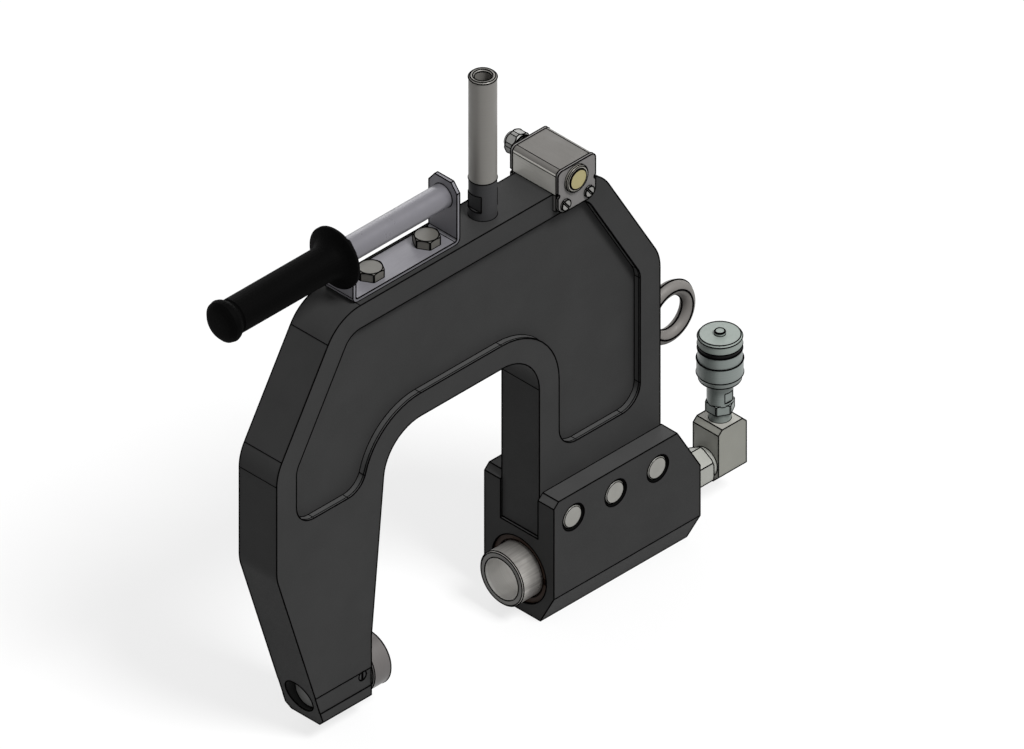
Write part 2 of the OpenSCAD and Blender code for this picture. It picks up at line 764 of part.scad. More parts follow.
module ram() {
    piston_r = bore_d / 2 - slide_gap;
    color(steel)
    difference() {
        turned_along_x([
            [ram_socket_d / 2, daylight], [ram_d / 2 - 1, daylight], [ram_d / 2, daylight + 1],
            [ram_d / 2, piston_x], [piston_r, piston_x], [piston_r, piston_end],
            [ram_hollow_d / 2, piston_end], [ram_hollow_d / 2, hollow_x], [0, hollow_x],
            [0, daylight + ram_socket_l], [ram_socket_d / 2, daylight + ram_socket_l]]);
        ring_along_x(piston_seal_x, piston_seal_x + piston_seal_l, bore_d - 2 * piston_seal_w, bore_d + 2);
        ring_along_x(guide_ring_x, guide_ring_x + guide_ring_l, bore_d - 2 * guide_ring_w, bore_d + 2);
    }
}

module piston_seal() {
    color(polyurethane)
    ring_along_x(piston_seal_x + seat_gap, piston_seal_x + piston_seal_l - seat_gap,
        bore_d - 2 * piston_seal_w + 2 * seat_gap, bore_d - 2 * slide_gap);
}

module piston_guide_ring() {
    color(rubber)
    ring_along_x(guide_ring_x + seat_gap, guide_ring_x + guide_ring_l - seat_gap,
        bore_d - 2 * guide_ring_w + 2 * seat_gap, bore_d - 2 * slide_gap);
}

module spring_retainer() {
    color(blued)
    ring_along_x(retainer_x, piston_end, guide_bolt_d + 1, ram_hollow_d - 2 * seat_gap);
}

module return_spring() {
    color(spring_steel)
    translate([spring_x + rest_gap, 0, 0]) rotate([0, 90, 0])
        coil(return_mean_d, return_wire, retainer_x - spring_x - 2 * rest_gap, return_turns);
}

module guide_bolt() {
    color(blued)
    difference() {
        turned_along_x([
            [0, guide_head_x], [guide_head_d / 2 - 1, guide_head_x], [guide_head_d / 2, guide_head_x + 1],
            [guide_head_d / 2, spring_x], [guide_bolt_d / 2, spring_x],
            [guide_bolt_d / 2, guide_bolt_end], [0, guide_bolt_end]]);
        bar_along_x(guide_head_x - 1, guide_bolt_end + 1, guide_way_d);
    }
}

module gland_bush() {
    color(blued)
    difference() {
        ring_along_x(gland_x, gland_end, ram_d + 2 * slide_gap, gland_d - 2 * seat_gap);
        ring_along_x(gland_x - 1, wiper_x + wiper_l, ram_d - 1, ram_d + 2 * wiper_w);
        ring_along_x(rod_seal_x, rod_seal_x + rod_seal_l, ram_d - 1, ram_d + 2 * rod_seal_w);
        ring_along_x(gland_ring_x, gland_ring_x + o_ring_l, gland_d - 2 * o_ring_w, gland_d + 2);
    }
}

module rod_seal() {
    color(polyurethane)
    ring_along_x(rod_seal_x + seat_gap, rod_seal_x + rod_seal_l - seat_gap,
        ram_d + 2 * slide_gap, ram_d + 2 * rod_seal_w - 2 * seat_gap);
}

module rod_wiper() {
    inner = ram_d / 2 + slide_gap;
    outer = ram_d / 2 + wiper_w - seat_gap;
    color(polyurethane)
    turned_along_x([
        [inner, wiper_x - wiper_lip], [inner + 0.7, wiper_x - wiper_lip], [inner + 1.2, wiper_x],
        [outer, wiper_x], [outer, wiper_x + wiper_l - seat_gap], [inner, wiper_x + wiper_l - seat_gap]]);
}

module gland_o_ring() {
    color(rubber)
    ring_along_x(gland_ring_x + seat_gap, gland_ring_x + o_ring_l - seat_gap,
        gland_d - 2 * o_ring_w + 2 * seat_gap, gland_d);
}

module gland_circlip() {
    color(polyurethane)
    difference() {
        ring_along_x(circlip_x + seat_gap, circlip_x + circlip_t, circlip_inner_d,
            gland_d + ring_slot * 2 - 2 * seat_gap);
        translate([circlip_x - 1, -gland_d, -circlip_gap / 2])
            cube([circlip_t + 2, gland_d, circlip_gap]);
    }
}

module rear_cover() {
    color(blued)
    difference() {
        turned_along_x([
            [0, rear_cover_x + seat_gap], [gland_d / 2 - seat_gap, rear_cover_x + seat_gap],
            [gland_d / 2 - seat_gap, block_end - 1], [gland_d / 2 - 1, block_end], [0, block_end]]);
        bar_along_x(rear_cover_x - 1, block_end + 1, guide_bolt_d + 2 * seat_gap);
        ring_along_x(cover_ring_x, cover_ring_x + o_ring_l, gland_d - 2 * o_ring_w, gland_d + 2);
        for (side = [-1, 1])
            translate([0, side * spanner_hole_r, 0])
                bar_along_x(block_end - 6, block_end + 1, spanner_hole_d);
    }
}

module rear_cover_o_ring() {
    color(rubber)
    ring_along_x(cover_ring_x + seat_gap, cover_ring_x + o_ring_l - seat_gap,
        gland_d - 2 * o_ring_w + 2 * seat_gap, gland_d);
}

module handle_bracket() {
    bend = bracket_t + 2;
    color(zinc)
    difference() {
        intersection() {
            difference() {
                upright_plate(rounded([
                    [[-bracket_left, frame_top], bend], [[-bracket_left, frame_top + bracket_h], 0],
                    [[bracket_right, frame_top + bracket_h], 0],
                    [[bracket_right, frame_top], bend]]), bracket_w);
                upright_plate(rounded([
                    [[-bracket_left + bracket_t, frame_top + bracket_t], bend - bracket_t],
                    [[-bracket_left + bracket_t, frame_top + bracket_h + 1], 0],
                    [[bracket_right - bracket_t, frame_top + bracket_h + 1], 0],
                    [[bracket_right - bracket_t, frame_top + bracket_t], bend - bracket_t]]), bracket_w + 2);
            }
            translate([-bracket_left - 1, 0, frame_top]) rotate([90, 0, 90])
                linear_extrude(bracket_l + 2) polygon([
                    [-bracket_w / 2, 0], [-bracket_w / 2, bracket_h - bracket_chamfer],
                    [-bracket_w / 2 + bracket_chamfer * 0.8, bracket_h],
                    [bracket_w / 2 - bracket_chamfer * 0.8, bracket_h],
                    [bracket_w / 2, bracket_h - bracket_chamfer], [bracket_w / 2, 0]]);
        }
        translate([0, 0, bar_z])
            bar_along_x(-bracket_left - 1, bracket_right + 1, bar_d + 2 * seat_gap);
        for (x = bracket_bolt_xs)
            bar_along_z(x, frame_top - 1, frame_top + bracket_t + 1, bracket_bolt_d + 2 * seat_gap);
    }
}

module bracket_bolts() {
    color(blued)
    for (x = bracket_bolt_xs) {
        bar_along_z(x, frame_top - bracket_bolt_grip, frame_top + bracket_t + 1, bracket_bolt_d);
        translate([x, 0, frame_top + bracket_t])
            hex_head(bracket_bolt_af, bracket_bolt_head, bracket_bolt_af / cos(30) - 0.4);
    }
}

module handle_bar() {
    color(zinc)
    translate([0, 0, bar_z])
    turned_along_x([
        [0, bar_end], [bar_d / 2 - 1, bar_end], [bar_d / 2, bar_end + 1],
        [bar_d / 2, bracket_right], [0, bracket_right]]);
}

module grip() {
    inner = bar_d / 2 + seat_gap;
    outer = grip_d / 2;
    flange = grip_flange_d / 2;
    bead = grip_bead_d / 2;
    tail = grip_x - grip_l;
    color(rubber)
    translate([0, 0, bar_z])
    turned_along_x([
        [inner, grip_x], [flange - 1, grip_x], [flange, grip_x - 1], [flange, grip_x - 3],
        [flange - 1, grip_x - 4], [outer + 5, grip_x - 5.5], [outer + 1.6, grip_x - 9],
        [outer, grip_x - grip_flare_l], [outer, tail + grip_bead_l + 4],
        [outer - 1, tail + grip_bead_l + 3], [outer - 1, tail + grip_bead_l + 1],
        [outer + 1, tail + grip_bead_l], [bead - 0.6, tail + grip_bead_l - 2],
        [bead, tail + grip_bead_l - 4], [bead - 0.8, tail + 3.5], [bead - 3.5, tail + 1],
        [bead - 7, tail], [0, tail], [0, bar_end - rest_gap], [inner, bar_end - rest_gap]]);
}

module handle_socket() {
    flats_z = frame_top + 7.7;
    color(iron)
    difference() {
        union() {
            bar_along_z(post_x, frame_top, frame_top + post_base_h, post_d);
            bar_along_z(post_x, frame_top - post_stud_l, frame_top + 1, post_stud_d);
            bar_along_z(post_x, frame_top + post_base_h - 1, frame_top + post_base_h + post_spigot_l,
                post_spigot_d);
        }
        for (side = [-1, 1])
            translate([post_x + side * (post_flats / 2 + post_d / 2) - post_d / 2, -post_d, flats_z])
                cube([post_d, 2 * post_d, post_flats_h]);
    }
}

module handle_tube() {
    low = frame_top + post_base_h;
    high = low + post_tube_h;
    step = low + post_spigot_l + rest_gap;
    spigot_r = post_spigot_d / 2 + seat_gap;
    color(zinc)
    translate([post_x, 0, 0]) rotate_extrude() polygon([
        [spigot_r, low], [post_d / 2, low], [post_d / 2, high - post_chamfer],
        [post_d / 2 - post_chamfer, high], [post_bore_d / 2 + post_chamfer, high],
        [post_bore_d / 2, high - post_chamfer], [post_bore_d / 2, step], [spigot_r, step]]);
}

module eye_bolt() {
    ring_r = (eye_od + eye_id) / 4;
    wire_r = (eye_od - eye_id) / 4;
    color(blued)
    translate([frame_right, 0, eye_z]) {
        bar_along_x(-eye_stud_l, 0.5, eye_thread_d);
        rotate([0, 90, 0]) rotate_extrude() polygon([
            [0, 0], [eye_collar_d / 2 - 0.8, 0], [eye_collar_d / 2, 0.8],
            [eye_collar_d / 2, eye_collar_t - 2.5], [eye_collar_d / 2 - 2.5, eye_collar_t - 0.6],
            [wire_r + 3, eye_collar_t], [wire_r + 0.5, eye_collar_t + 2], [0, eye_collar_t + 2]]);
        translate([eye_reach, 0, 0]) rotate([90, 0, 0])
            rotate_extrude() translate([ring_r, 0]) circle(wire_r);
    }
}

module switch_saddle() {
    leg_low = frame_top - end_plate_drop + 2.5;
    l = box_l - 2 * cover_t - 1;
    color(zinc)
    difference() {
        union() {
            translate([box_x - l / 2, -box_y + rest_gap / 2, leg_low])
                cube([l, 2 * box_y - rest_gap, frame_top + saddle_t - leg_low]);
            translate([box_x - box_l / 2, -box_y + rest_gap / 2, leg_low])
                cube([box_l, 2 * box_y - rest_gap, frame_top - rest_gap - leg_low]);
        }
        translate([box_x - box_l, -frame_t / 2 - seat_gap, leg_low - 1])
            cube([2 * box_l, frame_t + 2 * seat_gap, frame_top - leg_low + 1]);
        translate([button_x - switch_w / 2 - 1, -frame_t / 2 - 1, frame_top - 1])
            cube([switch_w + 2, frame_t / 2 + 1 + switch_back + 1, saddle_t + 2]);
        bar_along_y(button_x, button_z, -box_y - 1, -frame_t / 2 + 1, nut_d + 1.5);
        bar_along_y(box_x, gland_z, box_y - gland_shank_l - 1, box_y + 1, gland_neck_d + 4);
        for (x = plate_screw_xs)
            bar_along_y(x, plate_screw_z, -box_y - 1, box_y + 1, plate_screw_d + 2 * seat_gap);
    }
}

module switch_cover() {
    color([0.5, 0.49, 0.47])
    translate([box_x, 0, 0])
    difference() {
        upright_plate(box_outline(box_l, frame_top, frame_top + box_h, 0, box_r), 2 * box_y);
        upright_plate(box_outline(box_l - 2 * cover_t, frame_top - 1, frame_top + box_h - cover_t, 0,
            box_r - cover_t), 2 * box_y + 2);
    }
}

module end_plate(y) {
    low = frame_top - end_plate_drop;
    translate([box_x, 0, 0])
    difference() {
        upright_plate(box_outline(box_l, low, frame_top + box_h, end_plate_r, box_r), end_plate_t, y);
        for (side = [-1, 1])
            bar_along_y(side * box_l / 2, frame_top, y - end_plate_t, y + end_plate_t, 2 * end_notch_r);
    }
}

module switch_front_plate() {
    color(zinc)
    difference() {
        end_plate(-box_y - end_plate_t / 2);
        bar_along_y(button_x, button_z, -plate_y - 1, -box_y + 1, neck_d + 2 * seat_gap);
        for (x = plate_screw_xs)
            bar_along_y(x, plate_screw_z, -plate_y - 1, -box_y + 1, plate_screw_d + 2 * seat_gap);
    }
}

module switch_rear_plate() {
    color(zinc)
    difference() {
        end_plate(box_y + end_plate_t / 2);
        bar_along_y(box_x, gland_z, box_y - 1, plate_y + 1, gland_neck_d + 2 * seat_gap);
        for (x = plate_screw_xs)
            bar_along_y(x, plate_screw_z, box_y - 1, plate_y + 1, plate_screw_d + 2 * seat_gap);
    }
}

module plate_screws() {
    r = plate_screw_head_d / 2;
    color(zinc)
    for (x = plate_screw_xs, side = [0, 1])
        mirror([0, side, 0]) translate([x, -plate_y, plate_screw_z]) rotate([90, 0, 0])
            difference() {
                rotate_extrude() polygon([
                    [0, -plate_screw_l], [plate_screw_d / 2, -plate_screw_l], [plate_screw_d / 2, 0],
                    [r, 0], [r, plate_screw_head_h - fine_edge], [r - fine_edge, plate_screw_head_h],
                    [0, plate_screw_head_h]]);
                rotate([0, 0, plate_slot_turn])
                    translate([-plate_slot_w / 2, -r - 1, plate_screw_head_h - 1.1])
                    cube([plate_slot_w, 2 * r + 2, 2]);
            }
}

module button_bezel() {
    color(zinc)
    translate([button_x, -plate_y, button_z]) rotate([90, 0, 0]) rotate_extrude() polygon([
        [button_bore_d / 2, -plate_y + neck_back], [neck_d / 2, -plate_y + neck_back],
        [neck_d / 2, 0], [bezel_d / 2, 0], [bezel_d / 2, bezel_t - 0.8],
        [bezel_d / 2 - 0.8, bezel_t], [button_bore_d / 2, bezel_t]]);
}

module button_cap() {
    front = bezel_t + button_proud;
    color([0.68, 0.66, 0.47])
    translate([button_x, -plate_y, button_z]) rotate([90, 0, 0]) rotate_extrude() polygon([
        [0, -plate_y + neck_back - 1.5], [stem_d / 2, -plate_y + neck_back - 1.5],
        [stem_d / 2, front - button_head], [button_d / 2, front - button_head],
        [button_d / 2, front - fine_edge], [button_d / 2 - fine_edge, front], [0, front]]);
}

module button_spring() {
    low = button_head - bezel_t - button_proud + rest_gap;
    color(spring_steel)
    translate([button_x, -plate_y + low, button_z]) rotate([-90, 0, 0])
        coil(stem_d + 3.4, button_wire, plate_y - neck_back - low - rest_gap, 3);
}

module button_nut() {
    color(zinc)
    translate([button_x, -box_y + nut_t, button_z]) rotate([90, 0, 0])
    difference() {
        cylinder(h = nut_t - rest_gap, d = nut_d);
        translate([0, 0, -1]) cylinder(h = nut_t + 2, d = neck_d + 2 * seat_gap);
    }
}

module switch_block() {
    color(rubber)
    difference() {
        translate([button_x - switch_w / 2, -neck_back, frame_top - pocket_drop + 0.5])
            cube([switch_w, switch_l, switch_top - frame_top + pocket_drop - 0.5]);
        bar_along_y(button_x, button_z, -neck_back - 1, -neck_back + 1.5 + button_travel + 1, stem_d + 1);
    }
}

module gland_body() {
    color(plated)
    translate([box_x, 0, gland_z])
    difference() {
        union() {
            translate([0, box_y - gland_shank_l, 0]) rotate([-90, 0, 0])
                cylinder(h = gland_body_l, d = gland_neck_d);
            translate([0, plate_y, 0]) rotate([-90, 0, 0])
                hex_head(gland_nut_af, gland_hex_l, gland_nut_d);
        }
        translate([0, box_y - gland_shank_l - 1, 0]) rotate([-90, 0, 0])
            cylinder(h = gland_body_l + 2, d = gland_hole_d + 2);
    }
}

module gland_nut() {
    color(plated)
    translate([box_x, nut_y, gland_z]) rotate([-90, 14, 0])
    difference() {
        intersection() {
            cylinder(h = gland_nut_l, d = gland_nut_af / cos(30), $fn = 6);
            rotate_extrude() polygon([
                [0, 0], [gland_nut_d / 2 - 1.2, 0], [gland_nut_d / 2, 1.8],
                [gland_nut_d / 2, gland_nut_l * 0.66], [gland_nut_d / 2 - 1.8, gland_nut_l * 0.86],
                [gland_nut_d / 2 - 4, gland_nut_l], [0, gland_nut_l]]);
        }
        translate([0, 0, -1]) cylinder(h = gland_nut_l - 2 + 1, d = gland_neck_d + 2 * seat_gap);
        translate([0, 0, -1]) cylinder(h = gland_nut_l + 2, d = gland_hole_d + 1);
    }
}

module gland_seal() {
    low = nut_y - gland_nut_gap + gland_neck_l + rest_gap;
    color(rubber)
    translate([box_x, low, gland_z]) rotate([-90, 0, 0])
    difference() {
        cylinder(h = nut_y + gland_nut_l - 2 - rest_gap - low, d = gland_neck_d - 0.6);
        translate([0, 0, -1]) cylinder(h = gland_nut_l, d = gland_hole_d);
    }
}

module adapter_seal() {
    color(rubber)
    ring_along_x(block_end, block_end + seal_t, adapter_spigot_d + 0.4, adapter_af);
}

module port_adapter() {
    hex_start = hex_end - adapter_hex_l;
    color([0.75, 0.75, 0.72])
    difference() {
        union() {
            bar_along_x(guide_bolt_end + 1, hex_start + 1, adapter_spigot_d);
            bar_along_x(block_end + seal_t, hex_start + 1, adapter_af - 4);
            translate([hex_start, 0, 0]) rotate([0, 90, 0])
                hex_head(adapter_af, adapter_hex_l, adapter_af / cos(30));
            bar_along_x(hex_end - 1, elbow_x, adapter_collar_d);
            bar_along_x(elbow_x - 1, elbow_x + elbow_spigot_l, elbow_spigot_d);
        }
        bar_along_x(guide_bolt_end, elbow_x + elbow_spigot_l + 1, oil_way_d);
    }
}

module elbow_block() {
    top = elbow_top_chamfer;
    low = elbow_bottom_chamfer;
    end = elbow_x + elbow_l;
    color([0.55, 0.55, 0.52])
    difference() {
        intersection() {
            upright_plate([
                [elbow_x, -elbow_drop], [elbow_x, elbow_top - top], [elbow_x + top, elbow_top],
                [end - top, elbow_top], [end, elbow_top - top], [end, -elbow_drop]], elbow_w);
            translate([elbow_x - 1, 0, 0]) rotate([90, 0, 90]) linear_extrude(elbow_l + 2) polygon([
                [-elbow_w / 2, elbow_top + 1], [-elbow_w / 2, low - elbow_drop],
                [low - elbow_w / 2, -elbow_drop], [elbow_w / 2 - low, -elbow_drop],
                [elbow_w / 2, low - elbow_drop], [elbow_w / 2, elbow_top + 1]]);
        }
        bar_along_x(elbow_x - 1, elbow_x + elbow_spigot_l + 0.5, elbow_spigot_d + 2 * seat_gap);
        bar_along_x(elbow_x, coupler_x, oil_way_d);
        bar_along_z(coupler_x, elbow_top - coupler_spigot_l - 0.5, elbow_top + 1,
            coupler_spigot_d + 2 * seat_gap);
        bar_along_z(coupler_x, 0, elbow_top, oil_way_d);
    }
}

module coupler_body() {
    color(plated)
    translate([coupler_x, 0, 0])
    difference() {
        union() {
            bar_along_z(0, elbow_top - coupler_spigot_l, elbow_top + 1, coupler_spigot_d);
            bar_along_z(0, elbow_top, neck_top + 1, coupler_neck_d);
            translate([0, 0, neck_top]) rotate([0, 0, 30])
                hex_head(coupler_af, coupler_hex_h, coupler_af / cos(30) - 0.6);
            bar_along_z(0, hex_top - 1, flange_z + 1, barrel_d);
            bar_along_z(0, flange_z, flange_z + flange_t, flange_d);
            bar_along_z(0, flange_z + 1, sleeve_top - 1.5, upper_d);
        }
        bar_along_z(0, elbow_top - coupler_spigot_l - 1, chamber_z + 1, oil_way_d - 1);
        bar_along_z(0, chamber_z, seat_z, chamber_d);
        bar_along_z(0, seat_z - 1, mouth_z + 1, seat_d);
        bar_along_z(0, mouth_z, sleeve_top, mouth_d);
        bar_along_z(0, coupler_seal_z, coupler_seal_z + coupler_seal_l, mouth_d + 2 * coupler_seal_w);
        for (i = [0:ball_count - 1])
            rotate([0, 0, i * 360 / ball_count]) translate([0, 0, ball_z]) rotate([0, 90, 0])
                translate([0, 0, mouth_d / 2 - 1]) cylinder(h = 10, d = ball_d + 0.1);
        for (side = [-1, 1])
            translate([-barrel_d / 2, side * (barrel_d - barrel_flat_in) - barrel_d / 2,
                hex_top + barrel_flat_z])
                cube([barrel_d, barrel_d, barrel_flat_h]);
    }
}

module coupler_sleeve() {
    r = sleeve_d / 2;
    top_r = sleeve_top_d / 2;
    color(plated)
    translate([coupler_x, 0, 0]) rotate_extrude() polygon([
        [sleeve_bore_d / 2, sleeve_z], [r - sleeve_taper, sleeve_z], [r, sleeve_z + sleeve_taper_h],
        [r, sleeve_top - sleeve_step_h], [top_r, sleeve_top - sleeve_step_h], [top_r, sleeve_top - 0.6],
        [top_r - 0.6, sleeve_top], [sleeve_land_d / 2, sleeve_top],
        [sleeve_land_d / 2, sleeve_top - land_l], [sleeve_bore_d / 2, sleeve_top - land_l]]);
}

module sleeve_spring() {
    low = flange_z + flange_t + rest_gap;
    color(spring_steel)
    translate([coupler_x, 0, low])
        coil((upper_d + sleeve_bore_d) / 2, coupler_wire, sleeve_top - land_l - rest_gap - low, 3);
}

module locking_balls() {
    color(steel)
    translate([coupler_x, 0, 0])
    for (i = [0:ball_count - 1])
        rotate([0, 0, i * 360 / ball_count])
            translate([upper_d / 2 - ball_d / 2 + 0.05, 0, ball_z]) sphere(d = ball_d);
}

module coupler_poppet() {
    color(steel)
    translate([coupler_x, 0, 0]) rotate_extrude() polygon([
        [0, poppet_z], [chamber_d / 2 - slide_gap, poppet_z], [chamber_d / 2 - slide_gap, seat_z - 2],
        [seat_d / 2 + 0.6, seat_z - 0.2], [2.5, seat_z - 0.2], [2.5, seat_z + poppet_nose - 1],
        [1.5, seat_z + poppet_nose], [0, seat_z + poppet_nose]]);
}

module poppet_spring() {
    color(spring_steel)
    translate([coupler_x, 0, chamber_z + rest_gap])
        coil(chamber_d - coupler_wire - 1.4, coupler_wire, poppet_z - chamber_z - 2 * rest_gap, 3);
}

module coupler_seal() {
    color(rubber)
    translate([coupler_x, 0, 0])
        ring_along_z(coupler_seal_z + seat_gap, coupler_seal_z + coupler_seal_l - seat_gap,
            mouth_d, mouth_d + 2 * coupler_seal_w - 2 * seat_gap);
}

module cap_band() {
    color(rubber)
    translate([coupler_x, 0, 0])
        ring_along_z(band_z, cap_z, plug_d + 2 * seat_gap, sleeve_top_d - 0.6);
}

module dust_cap() {
    r = sleeve_top_d / 2;
    top = cap_z + cap_t;
    color([0.6, 0.63, 0.61])
    translate([coupler_x, 0, 0]) rotate_extrude() polygon([
        [0, plug_z], [plug_d / 2 - 1, plug_z], [plug_d / 2, plug_z + 1], [plug_d / 2, cap_z],
        [r, cap_z], [r, top - cap_edge * 1.4], [r - cap_edge, top], [knob_d / 2, top],
        [knob_d / 2, top + knob_h - 0.5], [knob_d / 2 - 0.5, top + knob_h], [0, top + knob_h]]);
}

c_frame();
anvil();
anvil_set_screw();
cylinder_block();
clamp_pins();
ram();
piston_seal();
piston_guide_ring();
spring_retainer();
return_spring();
guide_bolt();
gland_bush();
rod_seal();
rod_wiper();
gland_o_ring();
gland_circlip();
rear_cover();
rear_cover_o_ring();
handle_bracket();
bracket_bolts();
handle_bar();
grip();
handle_socket();
handle_tube();
eye_bolt();
switch_saddle();
switch_cover();
switch_front_plate();
switch_rear_plate();
plate_screws();
button_bezel();
button_cap();
button_spring();
button_nut();
switch_block();
gland_body();
gland_nut();
gland_seal();
adapter_seal();
port_adapter();
elbow_block();
coupler_body();
coupler_sleeve();
sleeve_spring();
locking_balls();
coupler_poppet();
poppet_spring();
coupler_seal();
cap_band();
dust_cap();
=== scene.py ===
import json
import math

import bmesh
import bpy
from mathutils import Matrix, Vector


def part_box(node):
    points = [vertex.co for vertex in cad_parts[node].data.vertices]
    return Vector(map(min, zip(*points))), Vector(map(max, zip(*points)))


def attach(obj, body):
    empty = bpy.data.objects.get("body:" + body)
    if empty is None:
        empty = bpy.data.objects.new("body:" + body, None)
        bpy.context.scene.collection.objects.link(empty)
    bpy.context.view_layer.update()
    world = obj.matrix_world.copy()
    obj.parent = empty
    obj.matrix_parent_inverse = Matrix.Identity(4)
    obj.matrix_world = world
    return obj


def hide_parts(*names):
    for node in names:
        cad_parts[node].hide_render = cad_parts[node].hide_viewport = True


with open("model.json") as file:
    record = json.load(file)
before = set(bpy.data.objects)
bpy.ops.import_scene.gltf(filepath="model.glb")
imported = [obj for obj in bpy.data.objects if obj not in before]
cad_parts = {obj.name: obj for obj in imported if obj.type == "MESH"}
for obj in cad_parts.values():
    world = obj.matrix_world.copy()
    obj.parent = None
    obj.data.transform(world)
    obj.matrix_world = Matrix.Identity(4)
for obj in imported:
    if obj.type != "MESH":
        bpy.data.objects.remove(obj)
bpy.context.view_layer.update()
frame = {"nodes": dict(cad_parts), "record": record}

cadNodes = frame["nodes"]
bodyOfNode = {node: body for body, nodes in frame["record"]["behaviour"]["bodies"].items() for node in nodes}
mm = 0.001
print("frame loaded:", len(cadNodes), "nodes")

# Camera, floor and light, in metres and degrees. paper and glow make the floor that the camera sees,
# and shade is the darker floor that lights the object from below
view = {"lookAt": (0.1512, 0.0, 0.1836), "from": (-1, -1, 1), "distance": 3.0, "width": 0.7731,
        "farthest": 20}
backdrop = {"centreX": 0.15, "floorZ": -0.0371, "radius": 6.0, "sides": 48,
            "paper": 0.86, "shade": 0.28, "glow": 0.74}
lamps = {
    "ambient": 0.45,
    "key": {"towards": (0.04, -0.61, 0.85), "strength": 3.2, "angle": 20},
    "back": {"towards": (0.75, 0.65, 0.30), "strength": 0.8, "angle": 40},
}


def makeCamera():
    camera = bpy.data.objects.new("camera", bpy.data.cameras.new("camera"))
    bpy.context.collection.objects.link(camera)
    camera.data.type = "ORTHO"
    camera.data.ortho_scale = view["width"]
    camera.data.clip_end = view["farthest"]
    back = Vector(view["from"]).normalized()
    camera.location = Vector(view["lookAt"]) + back * view["distance"]
    camera.rotation_euler = (-back).to_track_quat("-Z", "Y").to_euler()
    bpy.context.scene.camera = camera


def makeSun(name, settings):
    lamp = bpy.data.objects.new(name, bpy.data.lights.new(name, "SUN"))
    bpy.context.collection.objects.link(lamp)
    lamp.data.energy = settings["strength"]
    lamp.data.angle = math.radians(settings["angle"])
    lamp.rotation_euler = Vector(settings["towards"]).to_track_quat("Z", "Y").to_euler()


def feed(tree, socket, value):
    # Links another node's socket, or writes a plain value
    if isinstance(value, bpy.types.NodeSocket):
        tree.links.new(value, socket)
    else:
        socket.default_value = value


def computed(tree, operation, *values):
    node = tree.nodes.new("ShaderNodeMath")
    node.operation = operation
    for socket, value in zip(node.inputs, values):
        feed(tree, socket, value)
    return node.outputs[0]


def mixed(tree, share, first, second):
    node = tree.nodes.new("ShaderNodeMixShader")
    for socket, value in zip(node.inputs, (share, first, second)):
        feed(tree, socket, value)
    return node.outputs[0]


def whiteWhereSeen(tree, dim, bright):
    # Camera, glossy and transmission rays see the bright shader, all other rays the dim one
    rays = tree.nodes.new("ShaderNodeLightPath").outputs
    seen = computed(tree, "MAXIMUM", rays["Is Camera Ray"], rays["Is Glossy Ray"])
    seen = computed(tree, "MAXIMUM", seen, rays["Is Transmission Ray"])
    return mixed(tree, seen, dim, bright)


def whiteSky(tree, strength):
    node = tree.nodes.new("ShaderNodeBackground")
    node.inputs["Color"].default_value = (1, 1, 1, 1)
    node.inputs["Strength"].default_value = strength
    return node.outputs[0]


def makeWorld():
    world = bpy.data.worlds.new("studio")
    bpy.context.scene.world = world
    world.use_nodes = True
    tree = world.node_tree
    tree.nodes.clear()
    sky = whiteWhereSeen(tree, whiteSky(tree, lamps["ambient"]), whiteSky(tree, 1))
    tree.links.new(sky, tree.nodes.new("ShaderNodeOutputWorld").inputs["Surface"])


def mattPaper(tree, tone):
    node = tree.nodes.new("ShaderNodeBsdfDiffuse")
    node.inputs["Color"].default_value = (tone, tone, tone, 1)
    return node.outputs[0]


def makeFloor():
    material = bpy.data.materials.new("paperFloor")
    material.use_nodes = True
    tree = material.node_tree
    tree.nodes.clear()
    glow = tree.nodes.new("ShaderNodeEmission")
    glow.inputs["Strength"].default_value = 1
    paper = mixed(tree, backdrop["glow"], mattPaper(tree, backdrop["paper"]), glow.outputs[0])
    surface = whiteWhereSeen(tree, mattPaper(tree, backdrop["shade"]), paper)
    tree.links.new(surface, tree.nodes.new("ShaderNodeOutputMaterial").inputs["Surface"])
    mesh = bpy.data.meshes.new("floor")
    build = bmesh.new()
    middle = (backdrop["centreX"], 0, backdrop["floorZ"])
    bmesh.ops.create_circle(build, cap_ends=True, radius=backdrop["radius"], segments=backdrop["sides"],
                            matrix=Matrix.Translation(middle))
    build.to_mesh(mesh)
    build.free()
    floor = bpy.data.objects.new("floor", mesh)
    bpy.context.collection.objects.link(floor)
    mesh.materials.append(material)


makeCamera()
makeSun("keySun", lamps["key"])
makeSun("backSun", lamps["back"])
makeWorld()
makeFloor()
bpy.context.scene.view_settings.view_transform = "Standard"
print("studio done")

# Finishes. band is the part of a noise's range that the patterns use, the strays are how far the
# roughness goes from its given value, and the depths are how deep a full bump is
patternRules = {"band": (0.35, 0.65), "grainStray": (-0.06, 0.06), "metalStray": (-0.05, 0.07),
                "grainDepth": 0.2 * mm, "metalDepth": 0.1 * mm}


def linear(colour):
    # From a colour as it looks on screen, 0 to 255, by the standard screen curve
    parts = [c / 255 for c in colour]
    return tuple(c / 12.92 if c <= 0.04045 else ((c + 0.055) / 1.055) ** 2.4 for c in parts) + (1,)


def newFinish(name):
    material = bpy.data.materials.new(name)
    material.use_nodes = True
    tree = material.node_tree
    shader = tree.nodes["Principled BSDF"]
    place = tree.nodes.new("ShaderNodeTexCoord")
    return material, tree, shader, place


def noise(tree, vector, scale, detail, rough=0.55):
    node = tree.nodes.new("ShaderNodeTexNoise")
    node.inputs["Scale"].default_value = scale
    node.inputs["Detail"].default_value = detail
    node.inputs["Roughness"].default_value = rough
    tree.links.new(vector, node.inputs["Vector"])
    return node.outputs["Fac"]


